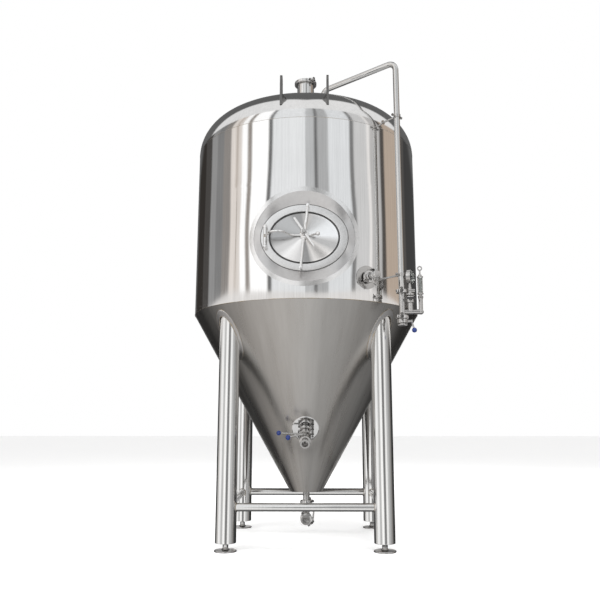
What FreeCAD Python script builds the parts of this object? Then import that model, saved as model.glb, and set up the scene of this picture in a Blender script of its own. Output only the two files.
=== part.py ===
import FreeCAD, Part
import Sketcher
import math
import os
import re

# A conical fermenter: an insulated, cooled stainless tank on four legs, with an oval inward-opening
# manway, a racking arm, a bottom outlet, a sample valve and a cleaning and gas line on its right.
# Millimetres. Z is up, the floor is Z = 0, the tank's axis is the Z axis and the manway faces -Y.

DIMENSIONS = {
    # tank body
    "tank_radius": 660, "cladding": 2.5, "gap": 80, "wall": 3, "jacket_depth": 11,
    "cone_bottom": 260, "cone_bottom_radius": 93, "drum_bottom": 1261, "drum_top": 2245,
    "knuckle": 230, "crown": 1320,
    # legs
    "leg_offset": 405, "leg_radius": 54, "leg_wall": 3, "leg_bottom": 42, "collar_radius": 73,
    "brace_height": 216, "brace_radius": 21.2, "foot_radius": 58, "foot_thickness": 8,
    "screw_radius": 10, "running_clearance": 0.06,
    # oval manway: half sizes of its outline, its ring and its opening
    "manway_height": 1590, "recess_half_width": 271, "recess_half_height": 246.5,
    "ring_half_width": 228, "ring_half_height": 179, "opening_half_width": 186,
    "opening_half_height": 141, "ring_face": 620, "ring_thickness": 12, "neck_wall": 4,
    "spindle_radius": 10, "hinge_x": 203,
    # 1.5 inch pipe, its clamp ferrules and its valves
    "pipe_radius": 19.05, "pipe_bore": 17.4, "flange_radius": 25.25, "joint_half": 0.5,
    "valve_radius": 31, "valve_length": 80, "stem_radius": 5, "ball_radius": 13,
    # racking port, on the cone
    "racking_radius": 292, "racking_height": 612,
    # bottom outlet
    "outlet_joint": 201, "outlet_height": 119, "elbow_radius": 57, "outlet_valve_length": 78,
    # sample port, on the drum
    "sample_height": 1385, "sample_angle": 29.5,
    # cleaning line
    "line_radius": 15.9, "line_bore": 14.3, "line_x": 505.5, "line_y": -565, "line_top": 2612,
    "line_joint": 1311, "manifold_height": 1204, "line_valve_top": 1176, "gauge_x": 548,
    "relief_x": 602, "gauge_height": 1390, "gauge_radius": 38,
    # top port
    "top_port_y": -190, "top_port_radius": 50.8, "top_port_flange": 59.5, "top_port_face": 2680,
}

doc = FreeCAD.newDocument("conical_fermenter")
sheet = doc.addObject("Spreadsheet::Sheet", "size")
for row, (alias, amount) in enumerate(DIMENSIONS.items(), 1):
    sheet.set(f"A{row}", alias)
    sheet.set(f"B{row}", str(amount))
    sheet.setAlias(f"B{row}", alias)
doc.recompute()

UP, DOWN, RIGHT, LEFT, FRONT, BACK = (
    FreeCAD.Vector(*v) for v in ((0, 0, 1), (0, 0, -1), (1, 0, 0), (-1, 0, 0), (0, -1, 0), (0, 1, 0)))
pieces = []


# ---- small tools ---------------------------------------------------------------------------------

def bound(expression):
    """An expression with each dimension's name read from the sheet."""
    def from_sheet(match):
        return "size." + match.group() if match.group() in DIMENSIONS else match.group()
    return re.sub(r"[a-z_]+", from_sheet, str(expression))


def number(expression):
    """The number that an expression gives now."""
    return float(sheet.evalExpression(bound(expression).replace("size.", "")))


def add(kind, **sizes):
    """A new object whose sizes are bound to expressions."""
    thing = doc.addObject(kind, kind.split("::")[1])
    for size_name, expression in sizes.items():
        thing.setExpression(size_name, bound(expression))
    return thing


def facing(axis, side=None):
    """The rotation that turns Z to axis and, where side is given, X to side."""
    if side is None:
        return FreeCAD.Rotation(UP, FreeCAD.Vector(axis))
    return FreeCAD.Rotation(FreeCAD.Vector(side), FreeCAD.Vector(), FreeCAD.Vector(axis), "ZXY")


def put(thing, at=(0, 0, 0), axis=UP, side=None):
    """Stand a thing at a place, its own Z along axis and its own X along side."""
    thing.Placement = FreeCAD.Placement(FreeCAD.Vector(*map(number, at)), facing(axis, side))
    for letter, expression in zip("xyz", at):
        if isinstance(expression, str):
            thing.setExpression("Placement.Base." + letter, bound(expression))
    return thing


def fuse(*things):
    both = add("Part::MultiFuse")
    both.Shapes = list(things)
    return both


def cut(base, *tools):
    for tool in tools:
        rest = add("Part::Cut")
        rest.Base = base
        rest.Tool = tool
        base = rest
    return base


def common(*things):
    shared = add("Part::MultiCommon")
    shared.Shapes = list(things)
    return shared


def group(*things):
    """Separate solids that share one node."""
    together = add("Part::Compound")
    together.Links = list(things)
    return together


def piece(thing, label):
    thing.Label = label
    pieces.append(thing)
    return thing


def rod(radius, length, at=(0, 0, 0), axis=UP):
    return put(add("Part::Cylinder", Radius=radius, Height=length), at, axis)


def tube(outer, inner, length, at=(0, 0, 0), axis=UP):
    return put(cut(rod(outer, length), rod(inner, length)), at, axis)


def block(width, depth, height, at=(0, 0, 0)):
    """A box centred in X and Y, standing on at."""
    box = add("Part::Box", Length=width, Width=depth, Height=height)
    x, y, z = at
    return put(box, (f"{x} - ({width}) / 2", f"{y} - ({depth}) / 2", z))


def turned(outline, at=(0, 0, 0), axis=UP, side=None):
    """A body of revolution. Each point is (radius, height), with an arc's radius third where an
    arc that bulges outwards runs from it to the next point; a negative radius runs clockwise."""
    body = doc.addObject("PartDesign::Body", "Body")
    sketch = body.newObject("Sketcher::SketchObject", "Sketch")
    plane = next(f for f in body.Origin.OriginFeatures if f.Role == "XZ_Plane")
    sketch.AttachmentSupport = [(plane, "")]
    sketch.MapMode = "FlatFace"
    points = [FreeCAD.Vector(number(p[0]), number(p[1]), 0) for p in outline]
    starts, ends = [], []
    for index, point in enumerate(outline):
        start, end = points[index], points[(index + 1) % len(points)]
        if len(point) == 2:
            sketch.addGeometry(Part.LineSegment(start, end), False)
            starts.append(1)
            ends.append(2)
            continue
        radius = number(point[2])
        half = (end - start) / 2
        rise = math.sqrt(radius ** 2 - half.Length ** 2)
        normal = FreeCAD.Vector(-half.y, half.x, 0).normalize()
        centre = start + half + normal * math.copysign(rise, radius)
        first, last = (start, end) if radius > 0 else (end, start)
        angles = [math.atan2((p - centre).y, (p - centre).x) for p in (first, last)]
        circle = Part.Circle(centre, UP, abs(radius))
        sketch.addGeometry(Part.ArcOfCircle(circle, angles[0], angles[1]), False)
        starts.append(1 if radius > 0 else 2)
        ends.append(2 if radius > 0 else 1)
    for index, point in enumerate(outline):
        after = (index + 1) % len(outline)
        sketch.addConstraint(
            Sketcher.Constraint("Coincident", index, ends[index], after, starts[after]))
        for word, coordinate, axis_line, expression in (
                ("DistanceX", points[index].x, -2, point[0]), ("DistanceY", points[index].y, -1, point[1])):
            if abs(coordinate) < 1e-9:
                sketch.addConstraint(
                    Sketcher.Constraint("PointOnObject", index, starts[index], axis_line))
                continue
            place = sketch.addConstraint(
                Sketcher.Constraint(word, -1, 1, index, starts[index], coordinate))
            if isinstance(expression, str):
                sketch.setExpression(f"Constraints[{place}]", bound(expression))
        if len(point) == 3:
            place = sketch.addConstraint(
                Sketcher.Constraint("Radius", index, abs(number(point[2]))))
            sketch.setExpression(f"Constraints[{place}]", bound(f"abs({point[2]})"))
    spin = body.newObject("PartDesign::Revolution", "Revolution")
    spin.Profile = sketch
    spin.ReferenceAxis = (sketch, ["V_Axis"])
    spin.Angle = 360
    return put(body, at, axis, side)


def bent(radius, points, bends):
    """A round bar along straight runs joined by tangent arcs; bends gives each arc's radius."""
    corners = [FreeCAD.Vector(*map(number, p)) for p in points]
    bends = [number(b) for b in (bends if isinstance(bends, list) else [bends] * (len(corners) - 2))]
    edges = []
    last = corners[0]
    for before, corner, after, radius_here in zip(corners, corners[1:], corners[2:], bends):
        into, out = (corner - before).normalize(), (after - corner).normalize()
        turn = into.getAngle(out)
        reach = radius_here * math.tan(turn / 2)
        start, end = corner - into * reach, corner + out * reach
        inward = (out - into).normalize()
        centre = corner + inward * (radius_here / math.cos(turn / 2))
        edges.append(Part.LineSegment(last, start).toShape())
        edges.append(Part.Arc(start, centre - inward * radius_here, end).toShape())
        last = end
    edges.append(Part.LineSegment(last, corners[-1]).toShape())
    path = add("Part::Feature")
    path.Shape = Part.Wire(edges)
    ring = put(add("Part::Circle", Radius=radius), tuple(corners[0]), corners[1] - corners[0])
    sweep = add("Part::Sweep")
    sweep.Sections = [ring]
    sweep.Spine = (path, [f"Edge{n + 1}" for n in range(len(edges))])
    sweep.Solid = True
    return sweep


def bent_tube(outer, inner, points, bends):
    return cut(bent(outer, points, bends), bent(inner, points, bends))


def oval(half_width, half_height, face, depth):
    """An elliptical post of the manway, from the distance face in front of the axis, inwards."""
    outline = add("Part::Ellipse", MajorRadius=half_width, MinorRadius=half_height)
    put(outline, (0, f"-({face})", "manway_height"), FRONT, RIGHT)
    post = add("Part::Extrusion")
    post.Base = outline
    post.DirMode = "Custom"
    post.Dir = BACK
    post.Solid = True
    post.setExpression("LengthFwd", bound(depth))
    return post


def oval_ring(outer, inner, face, depth):
    return cut(oval(outer[0], outer[1], face, depth), oval(inner[0], inner[1], face, depth))


def oval_cone(wide, narrow, face, tip):
    """An elliptical frustum from the plane face to the plane tip, both in front of the axis."""
    ends = []
    for (half_width, half_height), distance in ((wide, face), (narrow, tip)):
        end = add("Part::Ellipse", MajorRadius=half_width, MinorRadius=half_height)
        ends.append(put(end, (0, f"-({distance})", "manway_height"), FRONT, RIGHT))
    loft = add("Part::Loft")
    loft.Sections = ends
    loft.Solid = True
    loft.Ruled = True
    return loft


# ---- the tank's parallel layers ------------------------------------------------------------------

SLOPE = "((tank_radius - cone_bottom_radius) / (drum_bottom - cone_bottom))"
SECANT = f"sqrt(1 + {SLOPE} ^ 2)"
ARC_GAP = "(crown - knuckle)"
ARC_RISE = f"sqrt({ARC_GAP} ^ 2 - (tank_radius - knuckle) ^ 2)"
APEX = f"(drum_top - {ARC_RISE} + crown)"


def cone_radius(height, depth):
    """The cone's radius at a height, for a layer that lies depth under its outer face."""
    return f"(cone_bottom_radius - ({depth}) * {SECANT} + ({height} - cone_bottom) * {SLOPE})"


def cone_height(radius, depth):
    """The height where a layer of the cone reaches a radius."""
    return f"(cone_bottom + ({radius} - cone_bottom_radius + ({depth}) * {SECANT}) / {SLOPE})"


def cone_layer(outer, inner, bottom, top):
    return turned([(cone_radius(bottom, outer), bottom), (cone_radius(top, outer), top),
                   (cone_radius(top, inner), top), (cone_radius(bottom, inner), bottom)])


def drum_layer(outer, inner, bottom, top):
    return tube(f"tank_radius - ({outer})", f"tank_radius - ({inner})", f"({top}) - ({bottom})",
                (0, 0, bottom))


def head_layer(outer, inner):
    """A dished head: a knuckle arc and a crown arc that meet where they share a tangent."""
    def meeting(depth):
        reach = f"(knuckle - ({depth})) / {ARC_GAP}"
        return (f"(tank_radius - knuckle) * (1 + {reach})", f"drum_top + {ARC_RISE} * {reach}")
    return turned([
        (f"tank_radius - ({outer})", "drum_top", f"knuckle - ({outer})"),
        (*meeting(outer), f"crown - ({outer})"), (0, f"{APEX} - ({outer})"),
        (0, f"{APEX} - ({inner})", f"-(crown - ({inner}))"),
        (*meeting(inner), f"-(knuckle - ({inner}))"), (f"tank_radius - ({inner})", "drum_top")])


def head_solid(depth):
    """Everything that lies under a layer of the head, for trimming what stands on it."""
    reach = f"(knuckle - ({depth})) / {ARC_GAP}"
    return turned([
        (0, "drum_top - 5"), (f"tank_radius - ({depth})", "drum_top - 5"),
        (f"tank_radius - ({depth})", "drum_top", f"knuckle - ({depth})"),
        (f"(tank_radius - knuckle) * (1 + {reach})", f"drum_top + {ARC_RISE} * {reach}",
         f"crown - ({depth})"), (0, f"{APEX} - ({depth})")])


def on_drum(angle, radius):
    """A place round the drum; the angle runs from the front towards the right."""
    return (f"{radius} * sin({angle})", f"-{radius} * cos({angle})")


def outward(degrees):
    angle = math.radians(degrees)
    return FreeCAD.Vector(math.sin(angle), -math.cos(angle), 0)


# ---- pipe fittings -------------------------------------------------------------------------------

def ferrule_points(pipe, bore, flange, length):
    """A pipe stub with a clamp flange on its far end."""
    return [(bore, 0), (pipe, 0), (pipe, f"({length}) - 6"), (flange, f"({length}) - 3.5"),
            (flange, length), (bore, length)]


def clamp(at, axis, side, flange="flange_radius"):
    """A hinged clamp round two flanges that meet at its middle, with its wing nut on one side."""
    groove, lip, rim = f"{flange} + 0.35", f"{flange} - 4.2", f"{flange} + 8"
    ring = turned([(lip, -9), (rim, -9), (rim, 9), (lip, 9), (lip, 6.3), (groove, 4.5),
                   (groove, -4.5), (lip, -6.3)])
    ears = [block(15, 7, 16, (f"{flange} + 13", y, -8)) for y in (-6, 6)]
    bolt = rod(3.5, 44, (f"{flange} + 14", -14, 0), BACK)
    nut = rod(7, 8, (f"{flange} + 14", 10, 0), BACK)
    wings = block(5, 16, 30, (f"{flange} + 14", 22, -15))
    knuckle_pin = rod(5, 18, (f"-({flange} + 9)", 0, -9))
    return put(fuse(ring, *ears, bolt, nut, wings, knuckle_pin), at, axis, side)


def gasket(at, axis, bore="pipe_bore", flange="flange_radius"):
    return put(cut(rod(flange, 1, (0, 0, -0.5)), rod(bore, 1, (0, 0, -0.5))), at, axis)


def butterfly_body(length):
    """A butterfly valve's body along Z, its middle at 0, with its stem's boss towards X."""
    half = f"({length}) / 2"
    shell = turned([
        ("pipe_bore", f"-{half}"), ("flange_radius", f"-{half}"), ("flange_radius", f"3.5 - {half}"),
        ("pipe_radius", f"6 - {half}"), ("pipe_radius", -17), ("valve_radius", -14),
        ("valve_radius", 14), ("pipe_radius", 17), ("pipe_radius", f"{half} - 6"),
        ("flange_radius", f"{half} - 3.5"), ("flange_radius", half), ("pipe_bore", half)])
    boss = rod(9, "valve_radius - 18.5", (18, 0, 0), RIGHT)
    lower_boss = rod(9, "valve_radius - 18", ("-(valve_radius)", 0, 0), RIGHT)
    hole = rod("stem_radius + running_clearance", "valve_radius + 26", (-24, 0, 0), RIGHT)
    return cut(fuse(shell, boss, lower_boss), rod("pipe_bore", 60, (0, 0, -30)), hole)


def butterfly_disc():
    """A butterfly valve's disc, standing across the pipe, on its stem."""
    plate = rod("pipe_bore - 0.35", 3, (0, 0, -1.5))
    return fuse(plate, rod("stem_radius", "valve_radius + 33", (-23, 0, 0), RIGHT))


BALL_SEAT = 9
LEVER_ROOT = "valve_radius + 8"


def valve_spindle(disc, span):
    """A valve's disc, stem and lever, which turn as one; span runs from the stem to the ball."""
    hub = rod(10, 12, ("valve_radius + 1", 0, 0), RIGHT)
    root = FreeCAD.Vector(number(LEVER_ROOT), 0, 0)
    arm = rod(4.5, span.Length - BALL_SEAT, tuple(root), span)
    return fuse(disc, hub, arm), root + span


# ---- cladding, vessel, jackets and insulation ----------------------------------------------------

INCLINE = math.atan(number(SLOPE))
CONE_OUT = FreeCAD.Vector(0, -math.cos(INCLINE), -math.sin(INCLINE))
CONE_UP = FreeCAD.Vector(0, -math.sin(INCLINE), math.cos(INCLINE))
RACKING = (0, "-racking_radius", "racking_height")
THERMOWELL_ANGLE = 150
THERMOWELL_HEIGHT = 1500
GLYCOL_DRUM = [(172, 1420), (188, 2130)]
GLYCOL_CONE = [(168, 900), (192, 1090)]


def along(start, axis, distance):
    """The place at a distance from a start, along an axis."""
    place = FreeCAD.Vector(*map(number, start)) + FreeCAD.Vector(axis) * distance
    return tuple(place)


def carried(local, at, axis, side):
    """Where a valve's own place lands when the valve stands at a place, facing axis and side."""
    return tuple(FreeCAD.Vector(*map(number, at)) + facing(axis, side).multVec(local))


def grip_ball(at, arm):
    """A lever's ball, bored for the end of the arm, which points at its middle."""
    socket_start = FreeCAD.Vector(*at) - arm / arm.Length * 2 * BALL_SEAT
    return cut(put(add("Part::Sphere", Radius="ball_radius"), at),
               rod(4.5, BALL_SEAT, tuple(socket_start), arm))


def radial_hole(radius, angle, height, start=450, length=260):
    return rod(radius, length, (*on_drum(angle, start), height), outward(angle))


PORT_HOLES = [
    radial_hole("pipe_radius + 0.3", DIMENSIONS["sample_angle"], "sample_height"),
    radial_hole(11.3, THERMOWELL_ANGLE, THERMOWELL_HEIGHT),
    rod("pipe_radius + 0.3", 260, along(RACKING, CONE_OUT, -150), CONE_OUT),
    rod("top_port_radius + 0.3", 300, (0, "top_port_y", 2350)),
    rod("line_radius + 0.3", 300, (105, -250, 2350)),
    rod("pipe_radius + 0.05", 200, (0, 0, 200)),
]
nipple_holes = [radial_hole(13.8, angle, height, 588, 100) for angle, height in GLYCOL_DRUM]
nipple_holes += [radial_hole(13.8, angle, height, number(cone_radius(height, "gap")) + 14, 120)
                 for angle, height in GLYCOL_CONE]
ports = fuse(*PORT_HOLES)
nipples = fuse(*nipple_holes)

recess_post = oval("recess_half_width", "recess_half_height", "tank_radius + 20", 200)

drum = drum_layer(0, "cladding", "drum_bottom", "drum_top")
piece(cut(drum, recess_post, ports, nipples), "drum_cladding")

cone = cone_layer(0, "cladding", "cone_bottom", "drum_bottom")
floor_plate = tube("cone_bottom_radius - 1", "pipe_radius + 0.05", 3, (0, 0, "cone_bottom"))
piece(cut(fuse(cone, floor_plate), ports, nipples), "cone_cladding")

piece(cut(head_layer(0, "cladding"), ports), "head_cladding")

vessel_joint = cone_height("(tank_radius - gap)", "gap")
vessel = fuse(
    head_layer("gap", "gap + wall"),
    drum_layer("gap", "gap + wall", vessel_joint, "drum_top"),
    cone_layer("gap", "gap + wall", cone_height("pipe_radius", "gap"), vessel_joint))
vessel_opening = oval("ring_half_width - neck_wall", "ring_half_height - neck_wall",
                      "tank_radius + 20", 200)
piece(cut(vessel, ports, vessel_opening), "inner_vessel")

jacket_holes = fuse(
    oval("ring_half_width + 20", "ring_half_height + 20", "tank_radius + 20", 200),
    radial_hole(45, DIMENSIONS["sample_angle"], "sample_height"),
    radial_hole(40, THERMOWELL_ANGLE, THERMOWELL_HEIGHT))


def jacket(layer, bottom, top):
    """A cooling jacket: a sheet held off the vessel's wall by a rim at each end."""
    sheet_metal = layer("gap - jacket_depth", "gap - jacket_depth + 2", bottom, top)
    rims = [layer("gap - jacket_depth", "gap - 0.3", bottom, f"{bottom} + 4"),
            layer("gap - jacket_depth", "gap - 0.3", f"{top} - 4", top)]
    return fuse(sheet_metal, *rims)


piece(group(cut(jacket(drum_layer, 1330, 2200), jacket_holes), jacket(cone_layer, 780, 1190)),
      "cooling_jackets")

FOAM = ("cladding + 0.5", "gap - 12")
head_foam = cut(head_layer(*FOAM), ports)
drum_foam = cut(drum_layer(*FOAM, "drum_bottom", "drum_top"), ports, nipples, recess_post)
cone_foam = cut(cone_layer(*FOAM, "cone_bottom + 3.2", "drum_bottom"), ports, nipples)


def board(layer, start, sweep, bottom, top):
    """The stretch of a foam layer between two angles, from the front towards the right."""
    wedge = add("Part::Cylinder", Radius="tank_radius + 5", Height=f"({top}) - ({bottom})", Angle=sweep)
    return common(layer, put(wedge, (0, 0, bottom), UP, outward(start)))


# Boards of foam stand round the tank, and small ones fill in round the manway.
SECTOR, MANWAY_SECTOR, SIDE_SECTOR, SIDE_BOARDS = 36, 36, 32, 9
boards = []
for turn in range(0, 360, SECTOR):
    start = turn + SECTOR / 2
    boards.append(board(head_foam, start, SECTOR, "drum_top", "drum_top + 400"))
    boards.append(board(cone_foam, start, SECTOR, "cone_bottom", "drum_bottom"))
boards += [board(drum_foam, MANWAY_SECTOR + n * SIDE_SECTOR, SIDE_SECTOR, "drum_bottom", "drum_top")
           for n in range(SIDE_BOARDS)]
levels = ["drum_bottom"]
levels += [f"manway_height + ({share}) * recess_half_height" for share in (-1, -0.8, -0.5, 0, 0.5, 0.8, 1)]
levels.append("drum_top")
for start in (-MANWAY_SECTOR, 0):
    boards += [board(drum_foam, start, MANWAY_SECTOR, low, high) for low, high in zip(levels, levels[1:])]
piece(group(*boards), "insulation")


# ---- legs, braces and feet -----------------------------------------------------------------------

CORNERS = {"front_left": (-1, -1), "front_right": (1, -1), "rear_left": (-1, 1), "rear_right": (1, 1)}
cone_solid = put(add("Part::Cone", Radius1="cone_bottom_radius", Radius2="tank_radius",
                     Height="drum_bottom - cone_bottom"), (0, 0, "cone_bottom"))
collar_skin = cone_layer(-3, -0.1, "cone_bottom + 400", "drum_bottom")
leg_posts = {}
for corner, (x_side, y_side) in CORNERS.items():
    x, y = f"{x_side} * leg_offset", f"{y_side} * leg_offset"
    leg_posts[corner] = rod("leg_radius", "drum_bottom - leg_bottom", (x, y, "leg_bottom"))
    hollow = rod("leg_radius - leg_wall", "drum_bottom", (x, y, "leg_bottom + 8"))
    nut = rod(18, 30, (x, y, "leg_bottom + 8"))
    thread = rod("screw_radius + running_clearance", 60, (x, y, "leg_bottom - 1"))
    pipe = cut(leg_posts[corner], hollow, cone_solid)
    collar = cut(common(collar_skin, rod("collar_radius", 500, (x, y, "drum_bottom - 500"))),
                 rod("leg_radius - 1", 500, (x, y, "drum_bottom - 500")))
    piece(cut(fuse(pipe, nut, collar), thread), f"leg_{corner}")
    washer = [(0, 0), ("foot_radius", 0), ("foot_radius", "foot_thickness - 2"),
              ("foot_radius - 2", "foot_thickness"), (19, "foot_thickness + 2"), (14, 20), (14, 24),
              ("screw_radius", 24), ("screw_radius", "leg_bottom + 34"), (0, "leg_bottom + 34")]
    piece(turned(washer, (x, y, 0)), f"foot_{corner}")
span = "2 * leg_offset - 4"
cross_braces = [tube("brace_radius", "brace_radius - 2.6", span,
                     ("2 - leg_offset", f"{side} * leg_offset", "brace_height"), RIGHT)
                for side in (-1, 1)]
side_braces = [tube("brace_radius", "brace_radius - 2.6", span,
                    (f"{side} * leg_offset", "2 - leg_offset", "brace_height"), BACK)
               for side in (-1, 1)]
piece(group(*[cut(bar, *leg_posts.values()) for bar in cross_braces]), "cross_braces")
piece(group(*[cut(bar, *leg_posts.values()) for bar in side_braces]), "side_braces")


# ---- manway --------------------------------------------------------------------------------------

def recess_panel():
    """The polished panel between the round drum and the flat oval ring, as ruled faces."""
    tank, half_width, half_height, height, face, inner_width, inner_height = (
        number(name) for name in ("tank_radius", "recess_half_width", "recess_half_height",
                                  "manway_height", "ring_face", "ring_half_width",
                                  "ring_half_height"))
    thickness, gap = 2.5, 0.3

    def rim(width, tall, depth, curved):
        places = []
        for turn in range(48):
            angle = 2 * math.pi * turn / 48
            x, z = width * math.cos(angle), tall * math.sin(angle)
            front = math.sqrt(tank ** 2 - x ** 2) if curved else face
            places.append(FreeCAD.Vector(x, depth - front, height + z))
        spline = Part.BSplineCurve()
        spline.interpolate(places, PeriodicFlag=True)
        return spline.toShape()

    loops = [rim(half_width - gap, half_height - gap, 0, True),
             rim(inner_width + gap, inner_height + gap, 1, False),
             rim(inner_width + gap, inner_height + gap, 1 + thickness, False),
             rim(half_width - gap, half_height - gap, thickness, True)]
    faces = [Part.makeRuledSurface(loops[i], loops[(i + 1) % 4]) for i in range(4)]
    return Part.makeSolid(Part.makeShell(faces))


panel = add("Part::Feature")
panel.Shape = recess_panel()
piece(panel, "manway_recess_panel")

ring_outer = ("ring_half_width", "ring_half_height")
ring_inner = ("opening_half_width", "opening_half_height")
neck_inner = ("ring_half_width - neck_wall", "ring_half_height - neck_wall")
ring = oval_ring(ring_outer, ring_inner, "ring_face", "ring_thickness")
neck = oval_ring(ring_outer, neck_inner, "ring_face - ring_thickness + 1", 120)
outside_vessel = rod("tank_radius - gap + 0.05", 900, (0, 0, "manway_height - 450"))
piece(fuse(ring, cut(neck, outside_vessel)), "manway_ring")

lugs = [block(22, 34, 9, ("-hinge_x", "-ring_face - 17", f"manway_height + ({z})"))
        for z in (-58, 47)]
pin = rod(5, 116, ("-hinge_x", -650, "manway_height - 62"))
pin_heads = [rod(8, 5, ("-hinge_x", -650, f"manway_height + ({z})")) for z in (-63, 56)]
piece(fuse(*lugs, pin, *pin_heads), "manway_hinge_pin")

sleeve = rod(8.5, 92, ("-hinge_x", -650, "manway_height - 46"))
arch = bent(6, [("-hinge_x", -650, "manway_height"), (-168, -742, "manway_height"),
                (-112, -748, "manway_height"), (-72, -664, "manway_height"),
                (-18, -664, "manway_height")], [26, 26, 34])
eye = rod(21, 11, (0, -670, "manway_height"), BACK)
handle_bar = bent(6, [(14, -664, "manway_height"), (38, -664, "manway_height"),
                      (66, -690, "manway_height")], 22)
grip = put(add("Part::Sphere", Radius=11), (70, -693, "manway_height"))
arm = fuse(sleeve, arch, eye, handle_bar, grip)
piece(cut(arm, rod(5.2, 200, ("-hinge_x", -650, "manway_height - 100")),
          rod("spindle_radius + 0.4", 60, (0, -690, "manway_height"), BACK)), "manway_arm")

flange = oval("opening_half_width + 10", "opening_half_height + 10", "ring_face - 18", 6)
skirt = oval("opening_half_width - 4", "opening_half_height - 4", "ring_face - 2.5", 16)
crown = oval_cone(("opening_half_width - 8", "opening_half_height - 8"), (30, 24),
                  "ring_face - 3", "ring_face + 26")
hollow_crown = oval_cone(("opening_half_width - 13", "opening_half_height - 13"), (26, 20),
                         "ring_face - 8", "ring_face + 20")
hollow_skirt = oval("opening_half_width - 9", "opening_half_height - 9", "ring_face - 7.9", 30)
spindle = rod("spindle_radius", 131, (0, -621, "manway_height"), FRONT)
lid = fuse(cut(fuse(flange, skirt, crown), hollow_crown, hollow_skirt), spindle)
piece(lid, "manway_lid")
piece(oval_ring(("opening_half_width + 9", "opening_half_height + 9"),
                ("opening_half_width + 1", "opening_half_height + 1"),
                "ring_face - ring_thickness - 0.3", 5.7), "manway_gasket")

TILT = math.radians(6.3)
BAR_ALONG = FreeCAD.Vector(math.sin(TILT), 0, math.cos(TILT))
MANWAY = FreeCAD.Vector(0, 0, number("manway_height"))


def on_bar(distance, front):
    place = MANWAY + BAR_ALONG * distance
    return (place.x, -front, place.z)


bridge = bent(7, [on_bar(d, y) for d, y in ((166, 640), (120, 650), (56, 684), (-56, 684),
                                           (-120, 650), (-166, 640))], [60, 40, 40, 60])
bridge_hub = rod(19, 20, (0, -672.5, "manway_height"), FRONT)
soles = [fuse(rod(8, 27, on_bar(d, 620.4), FRONT), rod(5, 40, on_bar(d, 620.4), FRONT))
         for d in (168, -168)]
piece(cut(fuse(bridge, bridge_hub, *soles),
          rod("spindle_radius + 0.4", 60, (0, -660, "manway_height"), FRONT)), "manway_bridge_bar")

TEE_ALONG = FreeCAD.Vector(-101, 0, 149.5).normalize()
tee_hub = turned([(0, 0), (22, 0), (22, 4), (16, 7), (16, 40), (13, 44), (0, 44)],
                 (0, -694.5, "manway_height"), FRONT)
tee_bar = rod(6.5, 180, tuple(MANWAY + FreeCAD.Vector(0, -727, 0) - TEE_ALONG * 90), TEE_ALONG)
piece(cut(fuse(tee_hub, tee_bar), rod("spindle_radius + 0.3", 80, (0, -690, "manway_height"), FRONT)),
      "manway_tee_nut")


# ---- racking port, arm and valve -----------------------------------------------------------------

def on_racking(distance):
    return along(RACKING, CONE_OUT, distance)


CLAMP_A = 31
SPOOL = 49
CLAMP_B = CLAMP_A + SPOOL + 1
vessel_depth = number("gap")
racking_disc = turned([("pipe_radius", -9), (74, -9), (74, 2), (70, 3.5), ("pipe_radius", 3.5)],
                      RACKING, CONE_OUT)
racking_stub = turned(ferrule_points("pipe_radius", "pipe_bore", "flange_radius",
                                     CLAMP_A - 0.5 + vessel_depth + 3),
                      on_racking(-vessel_depth - 3), CONE_OUT)
piece(fuse(cut(racking_disc, cone_solid), racking_stub), "racking_port")

spool = turned([
    (11, 0), ("flange_radius", 0), ("flange_radius", 3.5), ("pipe_radius", 6), ("pipe_radius", 12),
    (24, 14), (24, 38), ("pipe_radius", 40), ("pipe_radius", SPOOL - 6),
    ("flange_radius", SPOOL - 3.5), ("flange_radius", SPOOL), (11, SPOOL)],
    on_racking(CLAMP_A + 0.5), CONE_OUT)
arm_start, arm_bend = on_racking(CLAMP_A + 2), FreeCAD.Vector(*on_racking(-150))
inner_arm = bent_tube(12.7, 11, [arm_start, tuple(arm_bend), tuple(arm_bend - CONE_UP * 95)], 38)
lever_start = FreeCAD.Vector(*on_racking(57)) + LEFT * 22
lever_end = FreeCAD.Vector(-141, -344, 588.4)
lever_run = lever_end - lever_start
arm_lever = rod(4.5, lever_run.Length - BALL_SEAT, tuple(lever_start), lever_run)
piece(cut(fuse(spool, inner_arm, arm_lever), rod(11, 60, on_racking(CLAMP_A - 8), CONE_OUT)),
      "racking_arm")
piece(grip_ball(tuple(lever_end), lever_run), "racking_arm_ball")

VALVE_MIDDLE = CLAMP_B + 0.5 + DIMENSIONS["valve_length"] / 2
valve_at = on_racking(VALVE_MIDDLE)
piece(put(butterfly_body("valve_length"), valve_at, CONE_OUT, CONE_UP), "racking_valve_body")
valve_turn = facing(CONE_OUT, CONE_UP)
ball_goal = FreeCAD.Vector(-88.2, -421, 566.5) - FreeCAD.Vector(*valve_at)
ball_local = valve_turn.inverted().multVec(ball_goal)
handle_run = ball_local - FreeCAD.Vector(number(LEVER_ROOT), 0, 0)
handle, handle_end = valve_spindle(butterfly_disc(), handle_run)
piece(put(handle, valve_at, CONE_OUT, CONE_UP), "racking_valve_lever")
piece(grip_ball(carried(handle_end, valve_at, CONE_OUT, CONE_UP), valve_turn.multVec(handle_run)),
      "racking_valve_ball")


# ---- bottom outlet -------------------------------------------------------------------------------

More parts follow.
